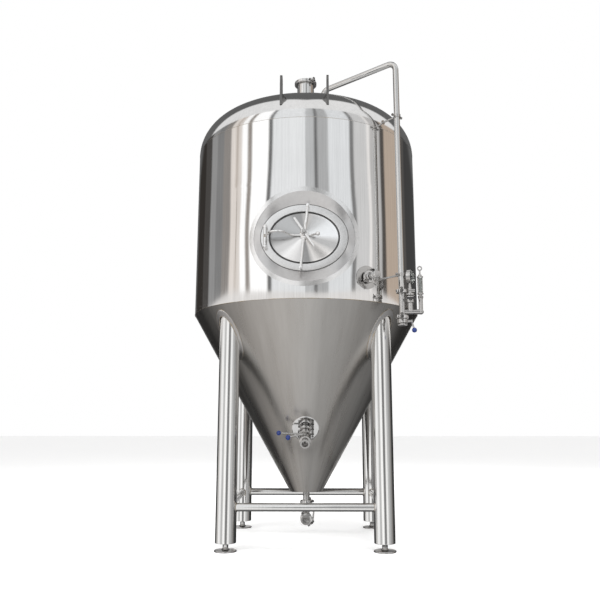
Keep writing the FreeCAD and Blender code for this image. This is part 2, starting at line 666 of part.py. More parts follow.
outlet_top = cone_height("pipe_radius", "gap + wall")
piece(turned(ferrule_points("pipe_radius", "pipe_bore", "flange_radius",
                            f"{outlet_top} + 6 - outlet_joint - joint_half"),
             (0, 0, f"{outlet_top} + 6"), DOWN), "outlet_pipe")
bend_path = [(0, 0, "outlet_joint - 6"), (0, 0, "outlet_height"), (0, "-elbow_radius - 6", "outlet_height")]
bend_flange = turned(ferrule_points("pipe_radius", "pipe_bore", "flange_radius", 6.5),
                     (0, 0, "outlet_joint - joint_half - 6.5"))
bend_end = turned(ferrule_points("pipe_radius", "pipe_bore", "flange_radius", 7),
                  (0, "-elbow_radius - 5", "outlet_height"), FRONT)
piece(fuse(bent_tube("pipe_radius", "pipe_bore", bend_path, "elbow_radius"), bend_flange, bend_end),
      "outlet_elbow")
OUTLET_JOINT_Y = "-(elbow_radius + 12 + joint_half)"
outlet_valve_at = (0, f"{OUTLET_JOINT_Y} - joint_half - outlet_valve_length / 2", "outlet_height")
piece(put(butterfly_body("outlet_valve_length"), outlet_valve_at, FRONT, RIGHT), "outlet_valve_body")
outlet_run = FreeCAD.Vector(6, 62, 0)
outlet_handle, outlet_end = valve_spindle(butterfly_disc(), outlet_run)
piece(put(outlet_handle, outlet_valve_at, FRONT, RIGHT), "outlet_valve_lever")
piece(grip_ball(carried(outlet_end, outlet_valve_at, FRONT, RIGHT),
                facing(FRONT, RIGHT).multVec(outlet_run)), "outlet_valve_ball")


# ---- sample port and valve -----------------------------------------------------------------------

SAMPLE_OUT = outward(DIMENSIONS["sample_angle"])
SAMPLE_SIDE = UP.cross(SAMPLE_OUT)


def on_sample(distance):
    return (*on_drum("sample_angle", f"(tank_radius + {distance})"), "sample_height")


sample_skin = drum_layer(-4, -0.1, "sample_height - 80", "sample_height + 80")
sample_disc = cut(common(sample_skin, rod(62, 200, on_sample(-60), SAMPLE_OUT)),
                  rod("pipe_radius", 200, on_sample(-60), SAMPLE_OUT))
sample_stub = turned(ferrule_points("pipe_radius", "pipe_bore", "flange_radius", "gap + wall + 21.5"),
                     on_sample("(-gap - wall)"), SAMPLE_OUT)
piece(fuse(sample_disc, sample_stub), "sample_port")
sample_shell = turned([(0, 0), ("flange_radius", 0), ("flange_radius", 3.5), (17, 6), (14, 9),
                       (14, 22), (17, 24), (17, 44), (13, 47), (13, 56), (0, 56)],
                      on_sample(22.5), SAMPLE_OUT)
spout_top = FreeCAD.Vector(*map(number, on_sample(56)))
spout = bent(6.5, [tuple(spout_top - UP * 8), tuple(spout_top - UP * 34),
                   tuple(spout_top - UP * 46 + SAMPLE_SIDE * 22)], 16)
side_nozzle = rod(7, 34, tuple(spout_top), SAMPLE_SIDE)
piece(cut(fuse(sample_shell, spout, side_nozzle), rod(5.06, 60, on_sample(60), SAMPLE_OUT)),
      "sample_valve_body")
knob = turned([(0, 0), (5, 0), (5, 21), (19, 22), (21, 25), (21, 35), (18, 38), (0, 39)],
              on_sample(60.5), SAMPLE_OUT)
grooves = [rod(2.6, 16, tuple(FreeCAD.Vector(*map(number, on_sample(83)))
                              + (SAMPLE_SIDE * math.cos(a) + UP * math.sin(a)) * 22.2), SAMPLE_OUT)
           for a in (math.radians(45 * n) for n in range(8))]
piece(cut(knob, fuse(*grooves)), "sample_valve_knob")


# ---- cleaning line, gauge and relief valve -------------------------------------------------------

LINE = ("line_x", "line_y")
SPRAY = (105, -250)
line_path = [(*SPRAY, 2390), (*SPRAY, "line_top - 8"), (*LINE, "line_top"), (*LINE, "line_joint + 6")]
line_pipe = bent_tube("line_radius", "line_bore", line_path, [42, 48])
line_flange = turned(ferrule_points("line_radius", "line_bore", 22, 6.5),
                     (*LINE, "line_joint + joint_half + 6.5"), DOWN)
piece(fuse(line_pipe, line_flange), "cleaning_pipe")

spray_shell = cut(put(add("Part::Sphere", Radius=32), (*SPRAY, 2366)),
                  put(add("Part::Sphere", Radius=30), (*SPRAY, 2366)))
spray_neck = tube(18.5, "line_radius + 0.1", 34, (*SPRAY, 2393))
jets = []
for rise in (math.radians(r) for r in (-35, 0, 35)):
    for turn in (math.radians(t) for t in range(0, 360, 45)):
        spray = FreeCAD.Vector(math.cos(turn) * math.cos(rise), math.sin(turn) * math.cos(rise),
                               math.sin(rise))
        jets.append(rod(1.6, 8, along((*SPRAY, 2366), spray, 27), spray))
piece(cut(fuse(spray_shell, spray_neck), rod("line_radius + 0.1", 60, (*SPRAY, 2389)), group(*jets)),
      "spray_ball")

LINE_ANGLE = math.degrees(math.atan2(number("line_x"), -number("line_y")))
LINE_REACH = math.hypot(number("line_x"), number("line_y"))


def bracket(height, tank_face):
    """A rod from the tank to a two-bolt clip round the cleaning pipe."""
    out = outward(LINE_ANGLE)
    side = UP.cross(out)
    centre = FreeCAD.Vector(number("line_x"), number("line_y"), height)
    stand_off = rod(5, LINE_REACH - tank_face - 18, tuple(out * tank_face + UP * height), out)
    foot_plate = rod(13, 5, tuple(out * (tank_face - 2) + UP * height), out)
    clip = tube(20, "line_radius + 0.2", 18, (*LINE, height - 9))
    bolts = [rod(4, 16, tuple(centre + side * s * 18), side * s) for s in (-1, 1)]
    heads = [rod(7, 7, tuple(centre + side * s * 31), side * s) for s in (-1, 1)]
    clear = rod("line_radius + 0.2", 60, (*LINE, height - 30))
    return cut(fuse(stand_off, foot_plate, clip, *bolts, *heads), clear)


tank_trim = fuse(rod("tank_radius + 0.1", "drum_top - drum_bottom", (0, 0, "drum_bottom")),
                 head_solid(-0.1))
piece(group(*[cut(bracket(height, 655), tank_trim) for height in (2288, 1400)]), "pipe_brackets")

manifold_body = fuse(
    turned(ferrule_points("line_radius", "line_bore", 22,
                          "line_joint - joint_half - line_valve_top - 8"),
           (*LINE, "line_valve_top + 8")),
    rod("line_radius", 12, (*LINE, "line_valve_top + 1")),
    rod("flange_radius", 3.5, (*LINE, "line_valve_top + 1")),
    rod(13, "relief_x - line_x", (*LINE, "manifold_height"), RIGHT),
    rod(14.5, 40, ("gauge_x", "line_y", "manifold_height")),
    rod(11, 30, ("relief_x", "line_y", "manifold_height")),
    put(add("Part::Sphere", Radius=14), ("relief_x", "line_y", "manifold_height")))
manifold_bores = fuse(
    rod("line_bore", 200, (*LINE, "line_valve_top")),
    rod(11, "relief_x - line_x", (*LINE, "manifold_height"), RIGHT),
    rod(10, 60, ("gauge_x", "line_y", "manifold_height")),
    rod(8, 60, ("relief_x", "line_y", "manifold_height")))
piece(cut(manifold_body, manifold_bores), "line_manifold")

line_valve_at = (*LINE, "line_valve_top - joint_half - 20")
LINE_VALVE_LENGTH = 41


def small_butterfly_body():
    """A short butterfly valve for the cleaning line, its outlet ferrule downwards."""
    shell = turned([("line_bore", -LINE_VALVE_LENGTH + 20), ("flange_radius", -LINE_VALVE_LENGTH + 20),
                    ("flange_radius", -LINE_VALVE_LENGTH + 23.5), ("line_radius", -LINE_VALVE_LENGTH + 26),
                    ("line_radius", -13), (27, -10), (27, 10), ("line_radius", 13),
                    ("line_radius", 14.5), ("flange_radius", 17), ("flange_radius", 20.5),
                    ("line_bore", 20.5)])
    boss = rod(8, 26, (16, 0, 0), RIGHT)
    hole = rod("stem_radius + running_clearance", 66, (-20, 0, 0), RIGHT)
    return cut(fuse(shell, boss), rod("line_bore", 60, (0, 0, -30)), hole)


piece(put(small_butterfly_body(), line_valve_at, UP, RIGHT), "line_valve_body")
line_plate = put(add("Part::Cylinder", Radius="line_bore - 0.35", Height=3), (0, 1.5, 0), FRONT)
line_stem = rod("stem_radius", 71, (-19.5, 0, 0), RIGHT)
line_hub = rod(9, 9, (42.5, 0, 0), RIGHT)
line_root, line_run = FreeCAD.Vector(47, 0, 0), FreeCAD.Vector(13, 0, -46)
line_arm = rod(4.5, line_run.Length - BALL_SEAT, tuple(line_root), line_run)
piece(put(fuse(line_plate, line_stem, line_hub, line_arm), line_valve_at, UP, RIGHT),
      "line_valve_lever")
line_end = line_root + line_run
piece(grip_ball(carried(line_end, line_valve_at, UP, RIGHT), facing(UP, RIGHT).multVec(line_run)),
      "line_valve_ball")

riser = turned([(0, 0), (14.5, 0), (14.5, 6), (21, 9), (21, 41), (14.5, 44), (24, 46), (24, 55),
                (11, 57), (11, 84), (9, 88), (9, 98), (7, 98), (7, 116), (0, 116)],
               ("gauge_x", "line_y", "manifold_height + 40"))
riser_cross = rod(11, 34, ("gauge_x - 10", "line_y", "manifold_height + 111"), RIGHT)
handle_socket = rod(5.06, 30, ("gauge_x", "line_y - 12", "manifold_height + 66"), FRONT)
GAUGE_OUT = FreeCAD.Vector(math.cos(math.radians(27)), -math.sin(math.radians(27)), 0)
GAUGE = FreeCAD.Vector(number("gauge_x") + 14, number("line_y") - 1, number("gauge_height"))
case = turned([(0, -26), (30, -26), ("gauge_radius - 1", -22), ("gauge_radius - 1", -5),
               ("gauge_radius", -4), ("gauge_radius", 0), (34, 0), (34, -9), (0, -9)],
              tuple(GAUGE), GAUGE_OUT)
piece(cut(fuse(riser, riser_cross), handle_socket, put(rod("gauge_radius", 26.2), tuple(
    GAUGE - GAUGE_OUT * 26.1), GAUGE_OUT)), "gauge_riser")
piece(case, "gauge_case")
piece(rod(33.8, 2, tuple(GAUGE - GAUGE_OUT * 2.5), GAUGE_OUT), "gauge_glass")
needle_hub = rod(3.5, 2.5, tuple(GAUGE - GAUGE_OUT * 7), GAUGE_OUT)
needle_side = UP.cross(GAUGE_OUT)
needle_run = (needle_side * math.cos(math.radians(225)) + UP * math.sin(math.radians(225)))
needle_bar = put(add("Part::Box", Length=2.4, Width=36, Height=1.2), tuple(
    GAUGE - GAUGE_OUT * 6.4 - needle_run * 9 - GAUGE_OUT.cross(needle_run) * -1.2), GAUGE_OUT,
    needle_run.cross(GAUGE_OUT))
piece(fuse(needle_hub, needle_bar), "gauge_needle")
tap_stem = rod(5, 26, ("gauge_x", "line_y - 13", "manifold_height + 66"), FRONT)
tap_bar = block(46, 7, 11, ("gauge_x", "line_y - 38", "manifold_height + 60.5"))
piece(fuse(tap_stem, tap_bar), "gauge_tap_handle")

RELIEF_BASE = "manifold_height + 30"
relief_pipe = turned([(8, 0), (11, 0), (11, 40), (14, 42), (14, 54), (9, 56), (9, 60), (16, 62),
                      (16, 68), (8, 68)], ("relief_x", "line_y", RELIEF_BASE))
relief_cap = turned([(0, 0), (16, 0), (16, 7), (9, 10), (9, 16), (0, 16)],
                    ("relief_x", "line_y", "manifold_height + 180"))
stays = [rod(1.8, 82.4, (f"relief_x + ({15.0 * math.cos(a)})", f"line_y + ({15.0 * math.sin(a)})",
                         "manifold_height + 97.8")) for a in (0.8, 2.4, 3.9, 5.5)]
spout_side = rod(7, 22, ("relief_x", "line_y", f"{RELIEF_BASE} + 48"), FRONT)
piece(cut(fuse(relief_pipe, relief_cap, *stays, spout_side),
          rod(4.06, 40, ("relief_x", "line_y", "manifold_height + 182"))), "relief_valve_body")
piece(tube(12.6, 10.4, 81.6, ("relief_x", "line_y", "manifold_height + 98.2")), "relief_sight_glass")
relief_stem = rod(4, 35, ("relief_x", "line_y", "manifold_height + 183"))
relief_ring = put(add("Part::Torus", Radius1=10, Radius2=3.2),
                  ("relief_x", "line_y", "manifold_height + 230"), FRONT)
piece(fuse(relief_stem, relief_ring), "relief_valve_knob")


# ---- top port, lifting lugs, thermowell and cooling ports ----------------------------------------

TOP = (0, "top_port_y")
stub_bottom = 2440
piece(turned(ferrule_points("top_port_radius", "top_port_radius - 2", "top_port_flange",
                            f"top_port_face - joint_half - {stub_bottom}"), (*TOP, stub_bottom)),
      "top_port")
piece(turned([(0, 0), ("top_port_flange", 0), ("top_port_flange", 3.5), ("top_port_flange - 8", 6),
              ("top_port_flange - 14", 5), (0, 5)], (*TOP, "top_port_face + joint_half")),
      "top_port_cap")

lug_trim = head_solid(-0.05)
lifting_lugs = []
for x_side, y_side in CORNERS.values():
    plate = block(12, 90, 130, (x_side * 127, y_side * 590, 2330))
    tip = rod(38, 12, (x_side * 127 - 6, y_side * 590, 2482), RIGHT)
    shank = block(12, 60, 60, (x_side * 127, y_side * 590, 2430))
    hole = rod(17, 14, (x_side * 127 - 7, y_side * 590, 2482), RIGHT)
    lifting_lugs.append(cut(fuse(plate, tip, shank), hole, lug_trim))
piece(group(*lifting_lugs), "lifting_lugs")

well_out = outward(THERMOWELL_ANGLE)
well = turned([(0, 0), (6, 0), (6, 150), (11, 160), (11, 305), (16, 305), (16, 325), (6, 325),
               (6, 318), (4, 318), (4, 8), (0, 8)], (*on_drum(THERMOWELL_ANGLE, 390), THERMOWELL_HEIGHT),
              well_out)
piece(well, "thermowell")


def nipple(start, end, angle, height):
    """A threaded cooling port: a pipe from the jacket to a hexagonal collar and a thread."""
    spigot = tube(13.5, 10, end - start, (*on_drum(angle, start), height), outward(angle))
    hexagon = put(add("Part::Prism", Circumradius=22, Height=12),
                  (*on_drum(angle, end - 34), height), outward(angle))
    return cut(fuse(spigot, hexagon), rod(10, end - start, (*on_drum(angle, start), height),
                                          outward(angle)))


drum_jacket_face = number("tank_radius - gap + jacket_depth")
nipple_parts = [nipple(drum_jacket_face + 0.1, 750, angle, height) for angle, height in GLYCOL_DRUM]
for angle, height in GLYCOL_CONE:
    face = number(cone_radius(height, "gap - jacket_depth"))
    nipple_parts.append(nipple(face + 8, face + 180, angle, height))
piece(group(*nipple_parts), "cooling_ports")


# ---- clamps and gaskets --------------------------------------------------------------------------

JOINTS = [
    (on_racking(CLAMP_A), CONE_OUT, RIGHT), (on_racking(CLAMP_B), CONE_OUT, RIGHT),
    ((0, 0, "outlet_joint"), UP, (0.8, 0.6, 0)),
    ((0, OUTLET_JOINT_Y, "outlet_height"), FRONT, (0.6, 0, -0.8)),
    (on_sample(22), SAMPLE_OUT, SAMPLE_SIDE * 0.8 + UP * 0.6),
    ((*LINE, "line_valve_top + joint_half"), UP, (-0.5, -0.85, 0)),
]
piece(group(*[clamp(at, axis, side) for at, axis, side in JOINTS],
            clamp((*LINE, "line_joint"), UP, (-0.5, -0.85, 0), 22),
            clamp((*TOP, "top_port_face"), UP, (0.5, -0.85, 0), "top_port_flange")), "pipe_clamps")
piece(group(*[gasket(at, axis) for at, axis, side in JOINTS],
            gasket((*LINE, "line_joint"), UP, "line_bore", 22),
            gasket((*TOP, "top_port_face"), UP, "top_port_radius - 2", "top_port_flange")),
      "clamp_gaskets")


# ---- checks and files ----------------------------------------------------------------------------

doc.recompute()
faults = [f"{thing.Label}: {thing.State}" for thing in doc.Objects
          if "Invalid" in thing.State or "Error" in thing.State]
for thing in pieces:
    shape = thing.Shape
    if shape.isNull() or not shape.isValid() or not shape.Solids:
        faults.append(f"{thing.Label}: shape is empty or not valid")
    elif min(solid.Volume for solid in shape.Solids) <= 0:
        faults.append(f"{thing.Label}: a solid has no volume")
if faults:
    raise SystemExit("\n".join(faults))

os.makedirs("parts", exist_ok=True)
for thing in pieces:
    thing.Shape.exportStep(f"parts/{thing.Label}.step")
    print(f"{thing.Label:24s} {len(thing.Shape.Solids):3d} solids {thing.Shape.Volume / 1e3:12.1f} cm3")
print(len(pieces), "sub-parts")
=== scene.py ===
from math import atan, atan2, cos, exp, hypot, pi, radians, sin, sqrt, tan

import bmesh
import bpy
from mathutils import Matrix, Quaternion, Vector


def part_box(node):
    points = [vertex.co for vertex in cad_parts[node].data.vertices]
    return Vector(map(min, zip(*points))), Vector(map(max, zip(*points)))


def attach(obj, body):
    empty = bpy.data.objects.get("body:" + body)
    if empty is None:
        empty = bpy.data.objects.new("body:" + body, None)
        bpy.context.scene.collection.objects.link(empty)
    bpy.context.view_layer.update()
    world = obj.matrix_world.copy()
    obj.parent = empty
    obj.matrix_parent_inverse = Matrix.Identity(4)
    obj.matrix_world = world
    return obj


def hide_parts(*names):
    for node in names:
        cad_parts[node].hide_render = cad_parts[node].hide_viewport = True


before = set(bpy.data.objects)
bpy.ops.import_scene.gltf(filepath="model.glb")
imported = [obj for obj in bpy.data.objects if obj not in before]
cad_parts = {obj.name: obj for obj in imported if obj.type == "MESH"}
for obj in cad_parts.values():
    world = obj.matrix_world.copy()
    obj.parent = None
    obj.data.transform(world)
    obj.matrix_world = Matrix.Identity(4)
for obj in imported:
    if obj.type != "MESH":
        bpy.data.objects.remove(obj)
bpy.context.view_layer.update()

# A conical fermenter of polished stainless steel. Shapes are worked out in millimetres and become
# metres when a piece is made. +Z is up, the manway faces -Y and the cleaning line stands at +X.

MM = 0.001
UP, RIGHT = Vector((0, 0, 1)), Vector((1, 0, 0))
FRONT, BACK = Vector((0, -1, 0)), Vector((0, 1, 0))
TURN = 2 * pi


# ---- places read from the frame --------------------------------------------------------------------

def node_box(name):
    low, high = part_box(name)
    return low / MM, high / MM


drum_low, drum_high = node_box("drum_cladding")
cone_low = node_box("cone_cladding")[0]
ring_low, ring_high = node_box("manway_ring")
lid_low = node_box("manway_lid")[0]
panel_low, panel_high = node_box("manway_recess_panel")

RADIUS = round(drum_high.x)
DRUM_BOTTOM, DRUM_TOP = drum_low.z, drum_high.z
CONE_FOOT, CONE_FOOT_RADIUS = cone_low.z, 93
SLOPE = (RADIUS - CONE_FOOT_RADIUS) / (DRUM_BOTTOM - CONE_FOOT)
INCLINE = atan(SLOPE)
KNUCKLE, CROWN = 230, 1320
MANWAY = Vector((0, ring_low.y, (ring_low.z + ring_high.z) / 2))
PANEL_HALF_WIDTH, PANEL_HALF_HEIGHT = panel_high.x, (panel_high.z - panel_low.z) / 2
LEG_OFFSET, LEG_RADIUS = 405, 54
CORNERS = {"front_left": (-1, -1), "front_right": (1, -1), "rear_left": (-1, 1), "rear_right": (1, 1)}


# ---- points, outlines and paths --------------------------------------------------------------------

def stand(place, axis=UP, side=RIGHT):
    """A matrix that puts Z along axis, X as near to side as it can be, and the origin at place."""
    z = Vector(axis).normalized()
    x = Vector(side) - z * z.dot(Vector(side))
    if x.length < 1e-6:
        x = z.orthogonal()
    x.normalize()
    y = z.cross(x)
    turned = Matrix((x, y, z)).transposed().to_4x4()
    return Matrix.Translation(Vector(place)) @ turned


def circle(radius, count=48, start=0.0):
    return [(radius * cos(start + TURN * k / count), radius * sin(start + TURN * k / count))
            for k in range(count)]


def rounded_box(width, height, corner, steps=4):
    """A rectangle's outline with round corners."""
    outline = []
    for quarter, (x, y) in enumerate(((1, 1), (-1, 1), (-1, -1), (1, -1))):
        cx, cy = x * (width / 2 - corner), y * (height / 2 - corner)
        for k in range(steps + 1):
            angle = (quarter + k / steps) * pi / 2
            outline.append((cx + corner * cos(angle), cy + corner * sin(angle)))
    return outline


def eased(profile, bevel, closed=False):
    """A profile with each corner cut to a small round."""
    points = [Vector((*p, 0)) for p in profile]
    count = len(points)
    smooth = []
    for i, here in enumerate(points):
        if not closed and i in (0, count - 1):
            smooth.append((here.x, here.y))
            continue
        before, after = points[i - 1], points[(i + 1) % count]
        into, out = before - here, after - here
        cut = min(bevel, into.length * 0.4, out.length * 0.4)
        a, b = here + into.normalized() * cut, here + out.normalized() * cut
        for share in (0, 0.5, 1):
            spot = a.lerp(here, share).lerp(here.lerp(b, share), share)
            smooth.append((spot.x, spot.y))
    return smooth


def bends(points, radius, steps=10):
    """A path through the points with every corner rounded by an arc."""
    points = [Vector(p) for p in points]
    path = [points[0]]
    for before, corner, after in zip(points, points[1:], points[2:]):
        u, v = (before - corner), (after - corner)
        room = 0.49 * min(u.length, v.length)
        u.normalize()
        v.normalize()
        half = u.angle(v) / 2
        cut = min(radius / tan(half), room)
        centre = corner + (u + v).normalized() * (cut / cos(half))
        start, end = corner + u * cut - centre, corner + v * cut - centre
        axis, angle = start.cross(end).normalized(), start.angle(end)
        path += [centre + Quaternion(axis, angle * k / steps) @ start for k in range(steps + 1)]
    return path + [points[-1]]


def oval(half_width, half_height, y, count=144):
    """An ellipse round the manway's middle, in the plane y."""
    return [Vector((half_width * cos(TURN * k / count), y, MANWAY.z + half_height * sin(TURN * k / count)))
            for k in range(count)]


def finely(path, step, closed=False):
    """The same path with points at an even small step."""
    ends = path + [path[0]] if closed else path
    fine = []
    for a, b in zip(ends, ends[1:]):
        parts = max(1, round((b - a).length / step))
        fine += [a.lerp(b, k / parts) for k in range(parts)]
    return fine if closed else fine + [ends[-1]]


class Shape:
    """The points and faces of one piece."""

    def __init__(self):
        self.points, self.faces, self.finishes = [], [], []

    def skin(self, rows, closed=True, loop=False, caps=False, finish=0):
        """Faces between rows of points. Closed rows run round; a loop joins the last to the first."""
        first, width, count = len(self.points), len(rows[0]), len(rows)
        for row in rows:
            self.points.extend(row)
        for i in range(count if loop else count - 1):
            below, above = first + i * width, first + (i + 1) % count * width
            for j in range(width if closed else width - 1):
                k = (j + 1) % width
                self.faces.append((below + j, below + k, above + k, above + j))
                self.finishes.append(finish)
        if caps:
            for row_start in (first, first + (count - 1) * width):
                self.faces.append(tuple(range(row_start, row_start + width)))
                self.finishes.append(finish)
        return self

    def spin(self, profile, at=None, steps=48, loop=False, finish=0, bevel=0.6):
        """A turned shape: (radius, height) points swung round the matrix's Z axis."""
        at = at or Matrix.Identity(4)
        if bevel:
            profile = eased(profile, bevel, loop)
        rows = [[at @ Vector((radius * cos(TURN * k / steps), radius * sin(TURN * k / steps), height))
                 for k in range(steps)] for radius, height in profile]
        return self.skin(rows, loop=loop, finish=finish)

    def sweep(self, path, radius, steps=14, closed=False, finish=0, upright=None, ripple=None):
        """A bar along a path. Ripple is the pitch of a weld's scales along it."""
        path = [Vector(p) for p in path]
        count = len(path)
        rows, side, run = [], None, 0.0
        for i, here in enumerate(path):
            ahead = path[(i + 1) % count] if closed or i < count - 1 else here
            behind = path[i - 1] if closed or i else here
            along = (ahead - behind).normalized()
            if side is None:
                side = Vector(upright) if upright else along.orthogonal()
            side = (side - along * side.dot(along)).normalized()
            other = along.cross(side)
            run += (here - behind).length if i else 0.0
            size = radius * (1 + 0.10 * sin(TURN * run / ripple)) if ripple else radius
            rows.append([here + side * (size * cos(TURN * k / steps))
                         + other * (size * sin(TURN * k / steps)) for k in range(steps)])
        return self.skin(rows, loop=closed, caps=not closed, finish=finish)

    def rod(self, start, end, radius, steps=24, bevel=0.8):
        """A straight round bar with eased ends."""
        start, end = Vector(start), Vector(end)
        length = (end - start).length
        return self.spin([(0, 0), (radius, 0), (radius, length), (0, length)],
                         stand(start, end - start), steps, bevel=bevel)

    def ball(self, centre, radius, steps=28):
        half = steps // 2
        arc = [(radius * sin(pi * k / half), -radius * cos(pi * k / half)) for k in range(half + 1)]
        return self.spin(arc, stand(centre), steps, bevel=0)

    def slab(self, outline, thickness, at=None, finish=0, edge=0.6):
        """A plate: an outline in the matrix's XY plane, made thick along its Z, with eased edges."""
        at = at or Matrix.Identity(4)
        count = len(outline)
        flat = [Vector((*p, 0)) for p in outline]
        inner = []
        for i, here in enumerate(flat):
            along = (flat[(i + 1) % count] - flat[i - 1]).normalized()
            inner.append(here + Vector((-along.y, along.x, 0)) * edge)
        levels = [(inner, 0), (flat, edge), (flat, thickness - edge), (inner, thickness)]
        rows = [[at @ (p + UP * height) for p in points] for points, height in levels]
        return self.skin(rows, caps=True, finish=finish)

    def box(self, size, at, edge=0.8):
        """A block with its middle at the matrix's origin."""
        width, depth, height = size
        corner = min(1.2, width / 4, depth / 4)
        return self.slab(rounded_box(width, depth, corner, 2), height,
                         at @ Matrix.Translation((0, 0, -height / 2)), edge=edge)

    def bead(self, path, radius, closed=False, finish=0, pitch=4.0):
        """A weld along a path, with its scales."""
        return self.sweep(finely([Vector(p) for p in path], pitch / 4, closed), radius, 7, closed,
                          finish, ripple=pitch)

    def hexagon(self, at, across, thickness, finish=0):
        """A nut's body, measured across its flats."""
        return self.slab(circle(across / 2 / cos(pi / 6), 6), thickness, at, finish, 0.5)

    def thread(self, at, radius, start, end, pitch=2.5, finish=0, steps=24):
        """A screw thread drawn as close ridges."""
        ridges = max(1, round((end - start) / pitch))
        profile = [(0, start)]
        for k in range(ridges):
            height = start + (end - start) * k / ridges
            profile += [(radius - 0.7, height), (radius, height + pitch * 0.5)]
        profile += [(radius - 0.7, end), (0, end)]
        return self.spin(profile, at, steps, finish=finish, bevel=0)


def make(name, body, shape, finishes, replaces=(), sharp=32):
    """Makes a piece from a shape, in metres, riding on a body."""
    mesh = bpy.data.meshes.new(name)
    mesh.from_pydata([Vector(p) * MM for p in shape.points], [], shape.faces)
    for material in finishes:
        mesh.materials.append(material)
    mesh.polygons.foreach_set("material_index", shape.finishes)
    work = bmesh.new()
    work.from_mesh(mesh)
    bmesh.ops.remove_doubles(work, verts=work.verts, dist=1e-7)
    bmesh.ops.dissolve_degenerate(work, edges=work.edges, dist=1e-8)
    bmesh.ops.recalc_face_normals(work, faces=work.faces)
    work.to_mesh(mesh)
    work.free()
    mesh.shade_smooth()
    mesh.set_sharp_from_angle(angle=radians(sharp))
    piece = bpy.data.objects.new(name, mesh)
    bpy.context.scene.collection.objects.link(piece)
    flats = piece.modifiers.new("flat_faces_shade_flat", "WEIGHTED_NORMAL")
    flats.keep_sharp = True
    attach(piece, body)
    if replaces:
        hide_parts(*replaces)


# ---- materials -------------------------------------------------------------------------------------

def band_ramp(tree, where, bands, soft=0.006):
    """A colour ramp of flat bands, each (where it starts, colour), with soft edges between them."""
    ramp = tree.nodes.new("ShaderNodeValToRGB")
    tree.links.new(where, ramp.inputs["Fac"])
    stops = [(0.0, bands[0][1])]
    for (_, before), (start, colour) in zip(bands, bands[1:]):
        stops += [(start - soft, before), (start + soft, colour)]
    elements = ramp.color_ramp.elements
    while len(elements) < len(stops):
        elements.new(0.5)
    for element, (place, colour) in zip(elements, stops):
        element.position = place
        element.color = (*colour, 1)
    return ramp.outputs["Color"]


def grey(level, warm=0.0):
    """A grey tone, a little redder when warm and a little bluer when warm is under 0."""
    return (level * (1 + 1.2 * warm), level, level * (1 - warm))


class Finish:
    """A material under construction: its tree, its shader and short ways to add nodes."""

    def __init__(self, name, colour, roughness, metallic=0.0):
        self.material = bpy.data.materials.new(name)
        self.material.use_nodes = True
        self.tree = self.material.node_tree
        self.shader = self.tree.nodes["Principled BSDF"]
        self.shader.inputs["Base Color"].default_value = (*colour, 1)
        self.shader.inputs["Roughness"].default_value = roughness
        self.shader.inputs["Metallic"].default_value = metallic

    def add(self, kind, inputs=None, **settings):
        made = self.tree.nodes.new(kind)
        for key, value in settings.items():
            setattr(made, key, value)
        for key, value in (inputs or {}).items():
            if isinstance(value, bpy.types.NodeSocket):
                self.tree.links.new(value, made.inputs[key])
            else:
                made.inputs[key].default_value = value
        return made

    def place(self, stretch=(1, 1, 1)):
        """Places on the piece, stretched along its axes."""
        source = self.add("ShaderNodeTexCoord").outputs["Object"]
        return self.add("ShaderNodeMapping", {"Vector": source, "Scale": stretch}).outputs["Vector"]

    def noise(self, vector, scale, detail=4.0, rough=0.6):
        return self.add("ShaderNodeTexNoise", {"Vector": vector, "Scale": scale, "Detail": detail,
                                               "Roughness": rough}).outputs["Fac"]

    def span(self, value, low, high, to_low, to_high):
        return self.add("ShaderNodeMapRange", {"Value": value, "From Min": low, "From Max": high,
                                               "To Min": to_low, "To Max": to_high}).outputs["Result"]

    def blend(self, factor, first, second):
        mix = self.add("ShaderNodeMix", data_type="RGBA")
        self.tree.links.new(factor, mix.inputs["Factor"])
        for key, value in (("A", first), ("B", second)):
            socket = next(s for s in mix.inputs if s.name == key and s.type == "RGBA")
            if isinstance(value, bpy.types.NodeSocket):
                self.tree.links.new(value, socket)
            else:
                socket.default_value = (*value, 1)
        return next(s for s in mix.outputs if s.type == "RGBA")

    def math(self, operation, a, b=0.0):
        made = self.add("ShaderNodeMath", operation=operation)
        for index, value in enumerate((a, b)):
            if isinstance(value, bpy.types.NodeSocket):
                self.tree.links.new(value, made.inputs[index])
            else:
                made.inputs[index].default_value = value
        return made.outputs[0]

    def link(self, value, socket):
        self.tree.links.new(value, self.shader.inputs[socket])

    def bump(self, height, strength, distance):
        made = self.add("ShaderNodeBump", {"Height": height, "Strength": strength, "Distance": distance})
        self.link(made.outputs["Normal"], "Normal")


def steel(name, colour, roughness, spread, grain, stretch, bump=0.05):
    """Stainless steel whose polish has a grain: fine lines stretched one way, and faint smears."""
    look = Finish(name, colour, roughness, 1.0)
    lines = look.noise(look.place(stretch), grain, 5.0, 0.7)
    smears = look.noise(look.place((1.0, 1.0, 0.6)), 3.1, 3.0)
    tone = look.math("ADD", look.math("MULTIPLY", lines, 0.6), look.math("MULTIPLY", smears, 0.4))
    dark = tuple(c * 0.90 for c in colour)
    bright = tuple(min(1.0, c * 1.06) for c in colour)
    look.link(look.blend(look.span(tone, 0.35, 0.65, 0, 1), dark, bright), "Base Color")
    look.link(look.span(tone, 0.3, 0.7, roughness, roughness + spread), "Roughness")
    look.bump(lines, bump, 0.0004)
    return look.material


# The lid's painted reflections: tones round its middle, in degrees anticlockwise from +X, painted into its
# colour in place of the light and shade that its shallow cone mirrors.
LID_PAINTED_REFLECTIONS = [(-180, grey(0.36)), (-166, grey(0.58)), (-142, grey(0.80)), (-112, grey(0.70)),
               (-96, grey(0.34)), (-72, grey(0.94, 0.02)), (-28, grey(0.50)), (-4, grey(1.0)),
               (58, grey(0.80)), (70, grey(0.64, 0.02)), (92, grey(0.36)), (122, grey(0.52)),
               (160, grey(0.46))]


